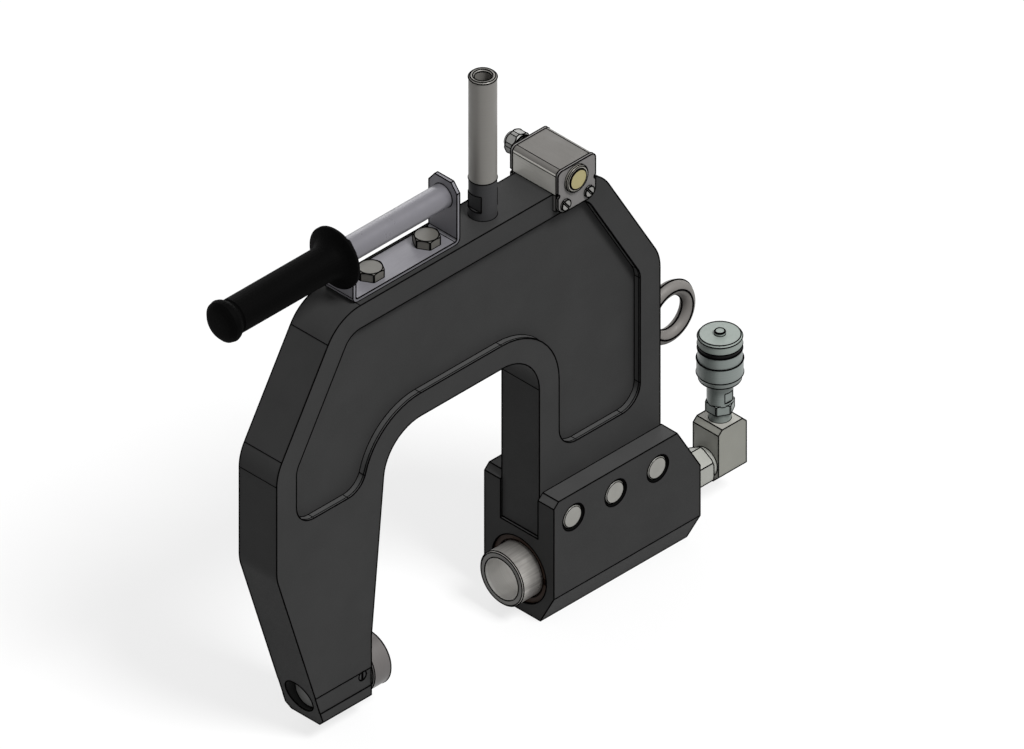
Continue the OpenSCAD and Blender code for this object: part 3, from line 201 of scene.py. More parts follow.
def toned(tree, fac, low, high):
    ramp = tree.nodes.new("ShaderNodeMapRange")
    ramp.inputs["From Min"].default_value = patternRules["band"][0]
    ramp.inputs["From Max"].default_value = patternRules["band"][1]
    ramp.inputs["To Min"].default_value = low
    ramp.inputs["To Max"].default_value = high
    tree.links.new(fac, ramp.inputs["Value"])
    return ramp.outputs["Result"]


def shaded(tree, shader, colour, fac, spread):
    # The colour gets darker and lighter with the pattern, by the given share each way
    mix = tree.nodes.new("ShaderNodeMix")
    mix.data_type = "RGBA"
    base = linear(colour)
    mix.inputs["A"].default_value = tuple(c * (1 - spread) for c in base[:3]) + (1,)
    mix.inputs["B"].default_value = tuple(c * (1 + spread) for c in base[:3]) + (1,)
    tree.links.new(toned(tree, fac, 0, 1), mix.inputs["Factor"])
    tree.links.new(mix.outputs["Result"], shader.inputs["Base Color"])


def bumped(tree, shader, fac, strength, depth):
    bump = tree.nodes.new("ShaderNodeBump")
    bump.inputs["Strength"].default_value = strength
    bump.inputs["Distance"].default_value = depth
    tree.links.new(fac, bump.inputs["Height"])
    tree.links.new(bump.outputs["Normal"], shader.inputs["Normal"])


def polished(tree, shader, fac, rough, stray, metal, specular):
    low, high = (rough + change for change in stray)
    tree.links.new(toned(tree, fac, low, high), shader.inputs["Roughness"])
    shader.inputs["Metallic"].default_value = metal
    shader.inputs["Specular IOR Level"].default_value = specular


def mapped(tree, place, scale=(1, 1, 1), centre=(0, 0, 0)):
    node = tree.nodes.new("ShaderNodeMapping")
    node.inputs["Location"].default_value = tuple(-c * s for c, s in zip(centre, scale))
    node.inputs["Scale"].default_value = scale
    tree.links.new(place.outputs["Object"], node.inputs["Vector"])
    return node.outputs["Vector"]


def middleOf(node):
    low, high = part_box(node)
    return tuple((low + high) / 2)


tubeAxis = middleOf("handle_tube")
barAxis = middleOf("handle_bar")
couplerAxis = middleOf("coupler_sleeve")


def grainFinish(name, colour, rough, metal=0.0, fine=900, patch=28, spread=0.05, bump=0.10, specular=0.5):
    # Painted, cast or moulded surface: fine grain, with faint cloudy patches
    material, tree, shader, place = newFinish(name)
    grain = noise(tree, place.outputs["Object"], fine, detail=2)
    clouds = noise(tree, place.outputs["Object"], patch, detail=4)
    shaded(tree, shader, colour, clouds, spread)
    bumped(tree, shader, grain, bump, patternRules["grainDepth"])
    polished(tree, shader, grain, rough, patternRules["grainStray"], metal, specular)
    return material


ironLook = dict(rough=0.62, bump=0.16, specular=0.06)
elbowLook = dict(rough=0.48, metal=0.1, fine=1500, patch=50, spread=0.03, bump=0.06, specular=0.2)
sealLook = dict(rough=0.6, fine=1200, patch=60, bump=0.05)
grainLooks = {
    "frameIron": dict(ironLook, colour=(53, 53, 53)),
    # Painted light: the frame's recess walls get a lighter iron than its faces, where they lie in shade
    "recessIron": dict(ironLook, colour=(74, 74, 74)),
    # Painted light: the block's upward faces get a lighter iron than its other faces
    "topIron": dict(ironLook, colour=(66, 66, 66)),
    "edgeLine": dict(colour=(6, 6, 6), rough=0.9, spread=0.1, bump=0.02, specular=0.0),
    # Painted shade: near black for the countersinks round the cross pins
    "rimShade": dict(colour=(9, 9, 9), rough=0.8, bump=0.05, specular=0.02),
    # Painted light: a lighter grey for the anvil's rear end deep in its bore and for the slot's small
    # chamfer, both in shade
    "sawnEnd": dict(colour=(125, 125, 124), rough=0.6, metal=0.1, fine=1500, specular=0.1),
    "pinSteel": dict(colour=(140, 139, 134), rough=0.42, metal=0.2, fine=1600, patch=90, bump=0.05),
    "blackScrew": dict(colour=(52, 52, 53), rough=0.5, metal=0.1, fine=1400, patch=60, specular=0.15),
    "brownSeal": dict(sealLook, colour=(42, 28, 20), specular=0.15),
    "blackSeal": dict(sealLook, colour=(14, 14, 14), specular=0.1),
    "boltSteel": dict(colour=(92, 90, 85), rough=0.46, metal=0.15, fine=1500, patch=80, bump=0.08),
    "eyeSteel": dict(colour=(112, 109, 106), rough=0.55, metal=0.12, fine=1100, patch=60, bump=0.12,
                     specular=0.25),
    "screwZinc": dict(colour=(134, 133, 130), rough=0.42, metal=0.2, fine=1500, patch=90, bump=0.06),
    "buttonCream": dict(colour=(160, 151, 108), rough=0.5, fine=1200, patch=70, spread=0.03, bump=0.03,
                        specular=0.3),
    "switchBlack": dict(colour=(30, 30, 30), rough=0.5, specular=0.2),
    "elbowSteel": dict(elbowLook, colour=(136, 136, 129)),
    # Painted light: lit copies of the elbow's steel, lighter on its side that faces the anvil and on its top
    "elbowSide": dict(elbowLook, colour=(172, 172, 165)),
    "elbowTop": dict(elbowLook, colour=(164, 163, 157)),
    "capPlastic": dict(colour=(138, 146, 141), rough=0.5, fine=1300, patch=60, spread=0.03, bump=0.05,
                       specular=0.25),
    "springWire": dict(colour=(118, 118, 120), rough=0.4, metal=0.4, fine=1500, patch=120),
}


def brushedFinish(name, colour, rough, metal, along, stretch=40, fine=60, clouds=45, spread=0.06, bump=0.04,
                  specular=0.2):
    # Rolled or brushed surface: long thin streaks along one direction
    material, tree, shader, place = newFinish(name)
    scale = [stretch, stretch, stretch]
    scale["XYZ".index(along)] = 1
    streaks = noise(tree, mapped(tree, place, tuple(scale)), fine, detail=3, rough=0.7)
    dulled = noise(tree, place.outputs["Object"], clouds, detail=3)
    shaded(tree, shader, colour, streaks, spread)
    bumped(tree, shader, streaks, bump, patternRules["metalDepth"])
    polished(tree, shader, dulled, rough, patternRules["metalStray"], metal, specular)
    return material


brushedLooks = {
    # The ram's broad lengthwise colour streaks are painted reflections, over its ground steel
    "groundRam": dict(colour=(164, 161, 157), rough=0.3, metal=0.6, along="X", stretch=22, fine=15,
                      spread=0.2, bump=0.02, specular=0.3),
    "bracketZinc": dict(colour=(120, 119, 124), rough=0.44, metal=0.12, along="X"),
    "boxSheet": dict(colour=(102, 100, 97), rough=0.5, metal=0.1, along="Y"),
    # Painted light: the cover's side that faces the anvil gets a much lighter sheet than its top
    "boxSide": dict(colour=(208, 206, 200), rough=0.5, metal=0.1, along="Y"),
    "plateSheet": dict(colour=(116, 114, 113), rough=0.5, metal=0.1, along="Z"),
}


def turnedFinish(name, colour, rough, metal, axis, centre=(0, 0, 0), fine=2600, clouds=60, spread=0.05,
                 bump=0.06, specular=0.3):
    # Lathe-turned metal: rings round the axis on its sides and circles on its end faces
    material, tree, shader, place = newFinish(name)
    split = tree.nodes.new("ShaderNodeSeparateXYZ")
    tree.links.new(mapped(tree, place, centre=centre), split.inputs[0])
    others = [c for c in "XYZ" if c != axis]
    across = tree.nodes.new("ShaderNodeCombineXYZ")
    tree.links.new(split.outputs[others[0]], across.inputs[0])
    tree.links.new(split.outputs[others[1]], across.inputs[1])
    radius = tree.nodes.new("ShaderNodeVectorMath")
    radius.operation = "LENGTH"
    tree.links.new(across.outputs[0], radius.inputs[0])
    lathe = tree.nodes.new("ShaderNodeCombineXYZ")
    tree.links.new(split.outputs[axis], lathe.inputs[0])
    tree.links.new(radius.outputs["Value"], lathe.inputs[1])
    rings = noise(tree, lathe.outputs[0], fine, detail=2, rough=0.6)
    dulled = noise(tree, place.outputs["Object"], clouds, detail=3)
    shaded(tree, shader, colour, rings, spread)
    bumped(tree, shader, rings, bump, patternRules["metalDepth"])
    polished(tree, shader, dulled, rough, patternRules["metalStray"], metal, specular)
    return material


turnedLooks = {
    "darkSocket": dict(colour=(56, 56, 57), rough=0.55, metal=0.0, axis="Z", centre=tubeAxis, specular=0.1),
    "ramEnd": dict(colour=(91, 90, 88), rough=0.35, metal=0.6, axis="X"),
    "anvilSteel": dict(colour=(100, 97, 96), rough=0.38, metal=0.3, axis="X"),
    # Painted light: the ram's socket is near white inside, where the bore is in shade
    "boredSteel": dict(colour=(236, 235, 233), rough=0.4, metal=0.9, axis="X"),
    "coverBlack": dict(colour=(54, 54, 55), rough=0.5, metal=0.1, axis="X", specular=0.15),
    "barChrome": dict(colour=(112, 111, 116), rough=0.3, metal=0.25, axis="X", centre=barAxis, fine=1800,
                      spread=0.03, bump=0.02),
    "tubeSteel": dict(colour=(122, 120, 116), rough=0.42, metal=0.15, axis="Z", centre=tubeAxis,
                      spread=0.02, bump=0.02),
    "bezelSteel": dict(colour=(146, 143, 136), rough=0.36, metal=0.3, axis="Y",
                       centre=middleOf("button_bezel")),
    "glandPlate": dict(colour=(134, 134, 132), rough=0.42, metal=0.15, axis="Y",
                       centre=middleOf("gland_body"), specular=0.2),
    "adapterBright": dict(colour=(160, 161, 155), rough=0.38, metal=0.12, axis="X"),
    "couplerPlate": dict(colour=(128, 135, 132), rough=0.38, metal=0.2, axis="Z", centre=couplerAxis),
}


def gripFinish(name, colour, rough, axisZ, lines, lineShare, fine, spread, bump, depth, specular):
    # Moulded rubber: fine lengthwise lines round the grip's axis under a faint grain
    material, tree, shader, place = newFinish(name)
    split = tree.nodes.new("ShaderNodeSeparateXYZ")
    tree.links.new(mapped(tree, place, centre=(0, 0, axisZ)), split.inputs[0])
    turn = computed(tree, "ARCTAN2", split.outputs["Y"], split.outputs["Z"])
    ribs = computed(tree, "SINE", computed(tree, "MULTIPLY", turn, lines))
    grain = noise(tree, place.outputs["Object"], fine, detail=3)
    shaded(tree, shader, colour, grain, spread)
    bumped(tree, shader, computed(tree, "MULTIPLY_ADD", ribs, lineShare, grain), bump, depth)
    shader.inputs["Roughness"].default_value = rough
    shader.inputs["Specular IOR Level"].default_value = specular
    return material


gripLook = dict(colour=(4, 4, 4), rough=0.65, axisZ=barAxis[2], lines=36, lineShare=0.35, fine=1000,
                spread=0.2, bump=0.2, depth=0.4 * mm, specular=0.02)

toolFinishes = {"gripRubber": gripFinish("gripRubber", **gripLook)}
finishKinds = ((grainFinish, grainLooks), (brushedFinish, brushedLooks), (turnedFinish, turnedLooks))
for makeFinish, looks in finishKinds:
    for name, look in looks.items():
        toolFinishes[name] = makeFinish(name, **look)
print("finishes done:", len(toolFinishes))


# Node trees for what repeats or follows a curve
def newTree(name, inputs):
    tree = bpy.data.node_groups.new(name, "GeometryNodeTree")
    tree.interface.new_socket("shape", in_out="OUTPUT", socket_type="NodeSocketGeometry")
    keys = {}
    for label, kind in inputs.items():
        socket = tree.interface.new_socket(label, in_out="INPUT", socket_type="NodeSocket" + kind)
        keys[label] = socket.identifier
    return tree, tree.nodes.new("NodeGroupInput").outputs, keys


def addNode(tree, kind, values, **choices):
    node = tree.nodes.new("GeometryNode" + kind)
    for key, value in choices.items():
        setattr(node, key, value)
    for key, value in values.items():
        for item in value if isinstance(value, list) else [value]:
            feed(tree, node.inputs[key], item)
    return node.outputs[0]


def sweptWire(tree, path, sides, radius):
    outline = addNode(tree, "CurvePrimitiveCircle", {"Resolution": sides, "Radius": radius})
    return addNode(tree, "CurveToMesh", {"Curve": path, "Profile Curve": outline, "Fill Caps": True})


def closeTree(tree, shape, finish):
    solid = addNode(tree, "RealizeInstances", {"Geometry": shape})
    painted = addNode(tree, "SetMaterial", {"Geometry": solid, "Material": finish})
    tree.links.new(painted, tree.nodes.new("NodeGroupOutput").inputs[0])


def grownMesh(name, grower, values):
    # Runs a tree once with these inputs and keeps its result as a plain mesh
    tree, keys = grower
    seedMesh = bpy.data.meshes.new(name + "Seed")
    seed = bpy.data.objects.new(name + "Seed", seedMesh)
    bpy.context.collection.objects.link(seed)
    growth = seed.modifiers.new("growth", "NODES")
    growth.node_group = tree
    for label, value in values.items():
        growth[keys[label]] = value
    bpy.context.view_layer.update()
    mesh = bpy.data.meshes.new_from_object(seed.evaluated_get(bpy.context.evaluated_depsgraph_get()))
    mesh.name = name
    bpy.data.objects.remove(seed)
    bpy.data.meshes.remove(seedMesh)
    return mesh


# How a copied solid is cleaned, and from which angle in degrees an edge is sharp
meshRules = {"merge": 0.002 * mm, "flatAngle": 0.5, "sharpAngle": 24}


def cleanMesh(mesh, sharpAngle):
    # Merges doubles and flat triangles, then shades smooth up to the sharp edges
    build = bmesh.new()
    build.from_mesh(mesh)
    bmesh.ops.remove_doubles(build, verts=build.verts, dist=meshRules["merge"])
    bmesh.ops.dissolve_limit(build, angle_limit=math.radians(meshRules["flatAngle"]), verts=build.verts,
                             edges=build.edges)
    sharp = math.radians(sharpAngle)
    for face in build.faces:
        face.smooth = True
    for edge in build.edges:
        edge.smooth = len(edge.link_faces) == 2 and edge.calc_face_angle(0) < sharp
    build.to_mesh(mesh)
    build.free()


# Dark lines follow the sharp edges, and thinner ones show where a round corner starts: on an edge
# longer than shortest, bent by more than leastAngle, with one face roundRatio times the other's size.
# strong and thin are the marks on the edges, and thinShare is a thin line's share of the full width.
# slot is the material slot that a piece keeps for its lines
lineRules = {"strong": 1.0, "thin": 0.5, "thinShare": 0.7, "sides": 6, "slot": 1,
             "roundRatio": 4, "leastAngle": 1.0, "shortest": 4 * mm}


def everywhere(place):
    return True


def lineKind(edge, sharp, least):
    # A bare edge belongs to a recess's second rim, which gets a thin line
    if not edge.link_faces:
        return lineRules["thin"]
    angle = edge.calc_face_angle(0) if len(edge.link_faces) == 2 else math.pi
    if angle > sharp:
        return lineRules["strong"]
    if angle > least and edge.calc_length() > lineRules["shortest"]:
        small, large = sorted(face.calc_area() for face in edge.link_faces)
        if large > lineRules["roundRatio"] * small:
            return lineRules["thin"]
    return 0.0


def markLines(mesh, look):
    build = bmesh.new()
    build.from_mesh(mesh)
    sharp = math.radians(look.get("sharpAngle", meshRules["sharpAngle"]))
    least = math.radians(lineRules["leastAngle"]) if look.get("thinLines", True) else sharp
    lineWhere = look.get("lineWhere", everywhere)
    kinds = []
    for edge in build.edges:
        middle = (edge.verts[0].co + edge.verts[1].co) / 2
        kinds.append(lineKind(edge, sharp, least) if lineWhere(middle) else 0.0)
    build.free()
    mesh.attributes.new("lineKind", "FLOAT", "EDGE").data.foreach_set("value", kinds)


def lineTree():
    tree, given, keys = newTree("lineTree", {
        "pattern": "Object", "halfWidth": "Float", "thinHalfWidth": "Float", "finish": "Material"})
    pattern = tree.nodes.new("GeometryNodeObjectInfo")
    tree.links.new(given["pattern"], pattern.inputs["Object"])
    kind = addNode(tree, "InputNamedAttribute", {"Name": "lineKind"}, data_type="FLOAT")
    swept = []
    for wanted, half in (("strong", "halfWidth"), ("thin", "thinHalfWidth")):
        same = tree.nodes.new("FunctionNodeCompare")
        same.operation = "EQUAL"
        same.inputs["B"].default_value = lineRules[wanted]
        tree.links.new(kind, same.inputs["A"])
        path = addNode(tree, "MeshToCurve", {
            "Mesh": pattern.outputs["Geometry"], "Selection": same.outputs[0]})
        swept.append(sweptWire(tree, path, lineRules["sides"], given[half]))
    closeTree(tree, addNode(tree, "JoinGeometry", {"Geometry": swept}), given["finish"])
    return tree, keys


lineGrower = lineTree()

# The least share of a normal along an axis for a face that points straight, slanted or leaning that way
facing = {"straight": 0.9, "slanted": 0.5, "leaning": 0.2}
recess = {"plateY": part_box("c_frame")[1].y, "reach": 5 * mm, "closeness": 0.01 * mm}


# The recess walls, which are painted lighter as painted light where they lie in shade
def onRecessWall(centre, normal):
    return abs(normal.y) < facing["slanted"] and abs(centre.y) > recess["plateY"] - recess["reach"]


def lowerRim(mesh, depth):
    # Bare edges that repeat the recess rims this far down their walls
    build = bmesh.new()
    build.from_mesh(mesh)
    rim = [edge for edge in build.edges
           if all(abs(abs(vert.co.y) - recess["plateY"]) < recess["closeness"] for vert in edge.verts)
           and any(onRecessWall(face.calc_center_median(), face.normal) for face in edge.link_faces)]
    lowered = {}
    for edge in rim:
        for vert in edge.verts:
            if vert not in lowered:
                lowered[vert] = build.verts.new(vert.co - Vector((0, math.copysign(depth, vert.co.y), 0)))
        build.edges.new([lowered[vert] for vert in edge.verts])
    build.to_mesh(mesh)
    build.free()


def addLines(piece, look):
    mesh = piece.data
    halfWidth = look["line"] * mm
    pattern = bpy.data.objects.new(piece.name + "Pattern", mesh.copy())
    bpy.context.collection.objects.link(pattern)
    if "rimLine" in look:
        lowerRim(pattern.data, look["rimLine"] * mm)
    markLines(pattern.data, look)
    lines = grownMesh(piece.name + "Lines", lineGrower, {
        "pattern": pattern, "halfWidth": halfWidth, "thinHalfWidth": halfWidth * lineRules["thinShare"],
        "finish": toolFinishes["edgeLine"]})
    bpy.data.objects.remove(pattern)
    for face in lines.polygons:
        face.material_index = lineRules["slot"]
        face.use_smooth = True
    build = bmesh.new()
    build.from_mesh(mesh)
    build.from_mesh(lines)
    build.to_mesh(mesh)
    build.free()
    bpy.data.meshes.remove(lines)


def makePiece(mesh, node, look):
    # Makes the piece that stands for a node. Its slots hold its finish, its lines and then its accents,
    # and where two accents meet on a face, the later one counts
    piece = bpy.data.objects.new(look["name"], mesh)
    bpy.context.collection.objects.link(piece)
    accents = look.get("accents", {})
    slots = [look["finish"], "edgeLine", *accents]
    mesh.materials.clear()
    for finish in slots:
        mesh.materials.append(toolFinishes[finish])
    for finish, chosen in accents.items():
        for face in mesh.polygons:
            if chosen(face.center, face.normal):
                face.material_index = slots.index(finish)
    if look["line"]:
        addLines(piece, look)
    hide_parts(node)
    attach(piece, bodyOfNode[node])


def dressNode(node, look):
    mesh = cadNodes[node].data.copy()
    mesh.name = look["name"]
    cleanMesh(mesh, look.get("sharpAngle", meshRules["sharpAngle"]))
    makePiece(mesh, node, look)


# Accents. Each function tells from a face's centre and normal whether the face gets another finish. Most of
# these finishes are painted light or painted shade
def facesAnvil(centre, normal):
    return normal.x < -facing["straight"]


def facesUp(centre, normal):
    return normal.z > facing["straight"]


# Faces that lean up; on the block these are painted lighter, as painted light
def leansUp(centre, normal):
    return normal.z > facing["leaning"]


anvilEnd = {"rearX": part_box("anvil")[0].x, "reach": 0.5 * mm}


# The anvil's rear end face, painted lighter as painted light where it lies in shade
def onAnvilRearEnd(centre, normal):
    return centre.x < anvilEnd["rearX"] + anvilEnd["reach"]


ramSocket = {"endX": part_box("ram")[0].x, "mouth": 1.2 * mm, "floor": 32.5 * mm, "radius": 18.3 * mm}


# The inside of the ram's socket, painted near white as painted light
def inRamSocket(centre, normal):
    depth = centre.x - ramSocket["endX"]
    inside = math.hypot(centre.y, centre.z) < ramSocket["radius"]
    return inside and ramSocket["mouth"] < depth < ramSocket["floor"]


pinLow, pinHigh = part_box("clamp_pins")
pinRims = {"middle": (pinLow + pinHigh) / 2, "pinRadius": (pinHigh.z - pinLow.z) / 2, "width": 2.5 * mm}
pinRims["spacing"] = (pinHigh.x - pinLow.x) / 2 - pinRims["pinRadius"]


def onPinRim(centre, normal):
    # The countersinks round the three cross pins, at the middle and one spacing to each side of it. They are
    # painted near black, as painted shade
    fromMiddle = centre.x - pinRims["middle"].x
    pinPlace = pinRims["spacing"] * max(-1, min(1, round(fromMiddle / pinRims["spacing"])))
    fromPin = math.hypot(fromMiddle - pinPlace, centre.z - pinRims["middle"].z)
    return fromPin < pinRims["pinRadius"] + pinRims["width"] and abs(normal.y) < facing["straight"]


blockLow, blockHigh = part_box("cylinder_block")
slotEdge = {"halfWidth": 22 * mm, "backX": blockLow.x + 3 * mm, "topZ": (blockLow.z + blockHigh.z) / 2}


def onSlotEdge(centre, normal):
    # The small chamfer at the front of the slot's floor, painted lighter as painted light where the leg
    # shades it
    inSlot = abs(centre.y) < slotEdge["halfWidth"] and centre.z < slotEdge["topZ"]
    slanted = normal.x < -facing["slanted"] and normal.z > facing["slanted"]
    return inSlot and centre.x < slotEdge["backX"] and slanted


sleeveSide = {"radius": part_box("coupler_sleeve")[1].x - couplerAxis[0], "reach": 2 * mm}


def onSleeveSide(place):
    fromAxis = math.hypot(place.x - couplerAxis[0], place.y - couplerAxis[1])
    return fromAxis > sleeveSide["radius"] - sleeveSide["reach"]


# line is half the width of a piece's dark lines and rimLine the depth of its second rim, in mm.
# sharpAngle is the angle in degrees from which its edges are sharp
dressing = {
    "c_frame": {"name": "framePlate", "finish": "frameIron", "line": 0.56, "sharpAngle": 20,
                "rimLine": 1.8, "accents": {"recessIron": onRecessWall}},
    "anvil": {"name": "anvilDie", "finish": "anvilSteel", "line": 0.48,
              "accents": {"sawnEnd": onAnvilRearEnd}},
    "anvil_set_screw": {"name": "anvilScrew", "finish": "blackScrew", "line": 0.5},
    # On the block, the upward faces and the slot's chamfer are painted lighter as painted light, and the pin
    # countersinks darker as painted shade
    "cylinder_block": {"name": "cylinderBlock", "finish": "frameIron", "line": 0.54,
                       "accents": {"topIron": leansUp, "rimShade": onPinRim, "sawnEnd": onSlotEdge}},
    "ram": {"name": "ramRod", "finish": "groundRam", "line": 0.5,
            "accents": {"ramEnd": facesAnvil, "boredSteel": inRamSocket}},
    "rear_cover": {"name": "rearCover", "finish": "coverBlack", "line": 0.4},
    "gland_circlip": {"name": "glandRing", "finish": "brownSeal", "line": 0.25},
    "rod_wiper": {"name": "rodWiper", "finish": "brownSeal", "line": 0.2},
    "gland_bush": {"name": "glandBush", "finish": "coverBlack", "line": 0.2},
    "handle_bracket": {"name": "handleBracket", "finish": "bracketZinc", "line": 0.54},
    "handle_bar": {"name": "handleBar", "finish": "barChrome", "line": 0.48},
    "grip": {"name": "sideGrip", "finish": "gripRubber", "line": 0, "sharpAngle": 32},
    "handle_socket": {"name": "handleSocket", "finish": "darkSocket", "line": 0.5, "sharpAngle": 12,
                      "thinLines": False},
    "handle_tube": {"name": "handleTube", "finish": "tubeSteel", "line": 0.5},
    "switch_saddle": {"name": "boxSaddle", "finish": "plateSheet", "line": 0.42},
    "switch_cover": {"name": "boxCover", "finish": "boxSheet", "line": 0.52,
                     "accents": {"boxSide": facesAnvil}},
    "switch_front_plate": {"name": "boxFrontPlate", "finish": "plateSheet", "line": 0.56},
    "switch_rear_plate": {"name": "boxRearPlate", "finish": "plateSheet", "line": 0.5},
    "button_bezel": {"name": "buttonBezel", "finish": "bezelSteel", "line": 0.44},
    "button_cap": {"name": "buttonCap", "finish": "buttonCream", "line": 0.4},
    "gland_body": {"name": "cableGlandBody", "finish": "glandPlate", "line": 0.5},
    "gland_nut": {"name": "cableGlandNut", "finish": "glandPlate", "line": 0.54},
    "gland_seal": {"name": "cableGlandSeal", "finish": "blackSeal", "line": 0.25},
    "adapter_seal": {"name": "adapterSeal", "finish": "blackSeal", "line": 0.25},
    "port_adapter": {"name": "portAdapter", "finish": "adapterBright", "line": 0.52, "sharpAngle": 18},
    "elbow_block": {"name": "elbowBlock", "finish": "elbowSteel", "line": 0.52,
                    "accents": {"elbowSide": facesAnvil, "elbowTop": facesUp}},
    "coupler_body": {"name": "couplerBody", "finish": "couplerPlate", "line": 0.4, "sharpAngle": 18},
    "coupler_sleeve": {"name": "couplerSleeve", "finish": "couplerPlate", "line": 0.52, "sharpAngle": 15,
                       "lineWhere": onSleeveSide},
    "coupler_poppet": {"name": "couplerPoppet", "finish": "couplerPlate", "line": 0.2},
    "cap_band": {"name": "capBand", "finish": "blackSeal", "line": 0.25},
    "dust_cap": {"name": "dustCap", "finish": "capPlastic", "line": 0.5},
}
for node, look in dressing.items():
    dressNode(node, look)
print("dressed pieces done:", len(dressing))

# Coil springs: a spiral swept with the wire's circle. wire is its diameter in mm
springs = {
    "return_spring": {"name": "returnSpring", "wire": 3.0, "turns": 8, "axis": "x"},
    "button_spring": {"name": "buttonSpring", "wire": 1.0, "turns": 3, "axis": "y"},
    "sleeve_spring": {"name": "sleeveSpring", "wire": 1.2, "turns": 3, "axis": "z"},
    "poppet_spring": {"name": "poppetSpring", "wire": 1.2, "turns": 3, "axis": "z"},
}
springDetail = {"steps": 40, "sides": 14, "sharpAngle": 40}
springLean = {"x": (0, math.pi / 2, 0), "y": (-math.pi / 2, 0, 0), "z": (0, 0, 0)}


def springTree():
    tree, given, keys = newTree("springTree", {
        "coilRadius": "Float", "wireRadius": "Float", "rise": "Float", "turns": "Float",
        "start": "Vector", "lean": "Vector", "finish": "Material"})
    path = addNode(tree, "CurveSpiral", {
        "Resolution": springDetail["steps"], "Rotations": given["turns"], "Start Radius": given["coilRadius"],
        "End Radius": given["coilRadius"], "Height": given["rise"]})
    coil = sweptWire(tree, path, springDetail["sides"], given["wireRadius"])
    placed = addNode(tree, "Transform", {
        "Geometry": coil, "Translation": given["start"], "Rotation": given["lean"]})
    closeTree(tree, placed, given["finish"])
    return tree, keys


springGrower = springTree()
for node, spring in springs.items():
    low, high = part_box(node)
    axis = "xyz".index(spring["axis"])
    wide = (axis + 1) % 3
    wireRadius = spring["wire"] / 2 * mm
    start = (low + high) / 2
    start[axis] = low[axis] + wireRadius
    mesh = grownMesh(spring["name"], springGrower, {
        "coilRadius": (high[wide] - low[wide]) / 2 - wireRadius, "wireRadius": wireRadius,
        "rise": high[axis] - low[axis] - 2 * wireRadius, "turns": float(spring["turns"]),
        "start": start, "lean": springLean[spring["axis"]], "finish": toolFinishes["springWire"]})
    cleanMesh(mesh, springDetail["sharpAngle"])
    makePiece(mesh, node, dict(spring, finish="springWire", line=0))
print("springs done:", len(springs))

# Rows of pins, bolts and screws: one of the node's solids repeated along the plate, at its first place
# and then at equal steps, and for some nodes on both faces
rows = {
    "clamp_pins": {"name": "clampPins", "finish": "pinSteel", "line": 0.3, "count": 3, "bothFaces": False},
    "bracket_bolts": {"name": "bracketBolts", "finish": "boltSteel", "line": 0.48, "count": 2,
                      "bothFaces": False, "sharpAngle": 18},
    "plate_screws": {"name": "plateScrews", "finish": "screwZinc", "line": 0.48, "count": 2,
                     "bothFaces": True},
}


def rowTree():
    tree, given, keys = newTree("rowTree", {
        "pattern": "Object", "count": "Int", "first": "Vector", "step": "Vector",
        "bothFaces": "Bool", "turnPlace": "Vector", "finish": "Material"})
    places = addNode(tree, "MeshLine", {
        "Count": given["count"], "Start Location": given["first"], "Offset": given["step"]}, mode="OFFSET")
    pattern = tree.nodes.new("GeometryNodeObjectInfo")
    tree.links.new(given["pattern"], pattern.inputs["Object"])
    row = addNode(tree, "InstanceOnPoints", {"Points": places, "Instance": pattern.outputs["Geometry"]})
    turned = addNode(tree, "Transform", {
        "Geometry": row, "Translation": given["turnPlace"], "Rotation": (0, 0, math.pi)})
    second = addNode(tree, "Switch", {"Switch": given["bothFaces"], "True": turned}, input_type="GEOMETRY")
    both = addNode(tree, "JoinGeometry", {"Geometry": [row, second]})
    closeTree(tree, both, given["finish"])
    return tree, keys


def firstSolid(node, name, sharpAngle):
    # The node's solid that lies lowest along X and Y, moved to the origin, with its place and width
    mesh = cadNodes[node].data.copy()
    cleanMesh(mesh, sharpAngle)
    build = bmesh.new()
    build.from_mesh(mesh)
    kept = {min(build.verts, key=lambda vert: vert.co.x + vert.co.y)}
    newest = set(kept)
    while newest:
        newest = {edge.other_vert(vert) for vert in newest for edge in vert.link_edges} - kept
        kept |= newest
    bmesh.ops.delete(build, geom=[vert for vert in build.verts if vert not in kept], context="VERTS")
    lows = [min(vert.co[i] for vert in build.verts) for i in range(3)]
    highs = [max(vert.co[i] for vert in build.verts) for i in range(3)]
    middle = Vector([(low + high) / 2 for low, high in zip(lows, highs)])
    bmesh.ops.translate(build, verts=build.verts, vec=-middle)
    build.to_mesh(mesh)
    build.free()
    pattern = bpy.data.objects.new(name, mesh)
    bpy.context.collection.objects.link(pattern)
    return pattern, middle, highs[0] - lows[0]


rowGrower = rowTree()
for node, row in rows.items():
    low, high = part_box(node)
    pattern, middle, width = firstSolid(
        node, row["name"] + "Pattern", row.get("sharpAngle", meshRules["sharpAngle"]))
    step = (high.x - low.x - width) / (row["count"] - 1)
    # Half a turn about turnPlace takes the row to the node's other face
    mesh = grownMesh(row["name"], rowGrower, {
        "pattern": pattern, "count": row["count"], "first": middle, "step": (step, 0, 0),
        "bothFaces": row["bothFaces"], "turnPlace": (low.x + high.x, low.y + high.y, 0),
        "finish": toolFinishes[row["finish"]]})
    bpy.data.objects.remove(pattern)
    makePiece(mesh, node, row)
print("rows done:", len(rows))

# Locking balls: spheres in a ring round the coupler's mouth. ball is their diameter in mm
lockingBalls = {"name": "lockingBalls", "finish": "pinSteel", "line": 0, "sharpAngle": 60,
                "count": 6, "ball": 3.8, "segments": 24, "rings": 16}


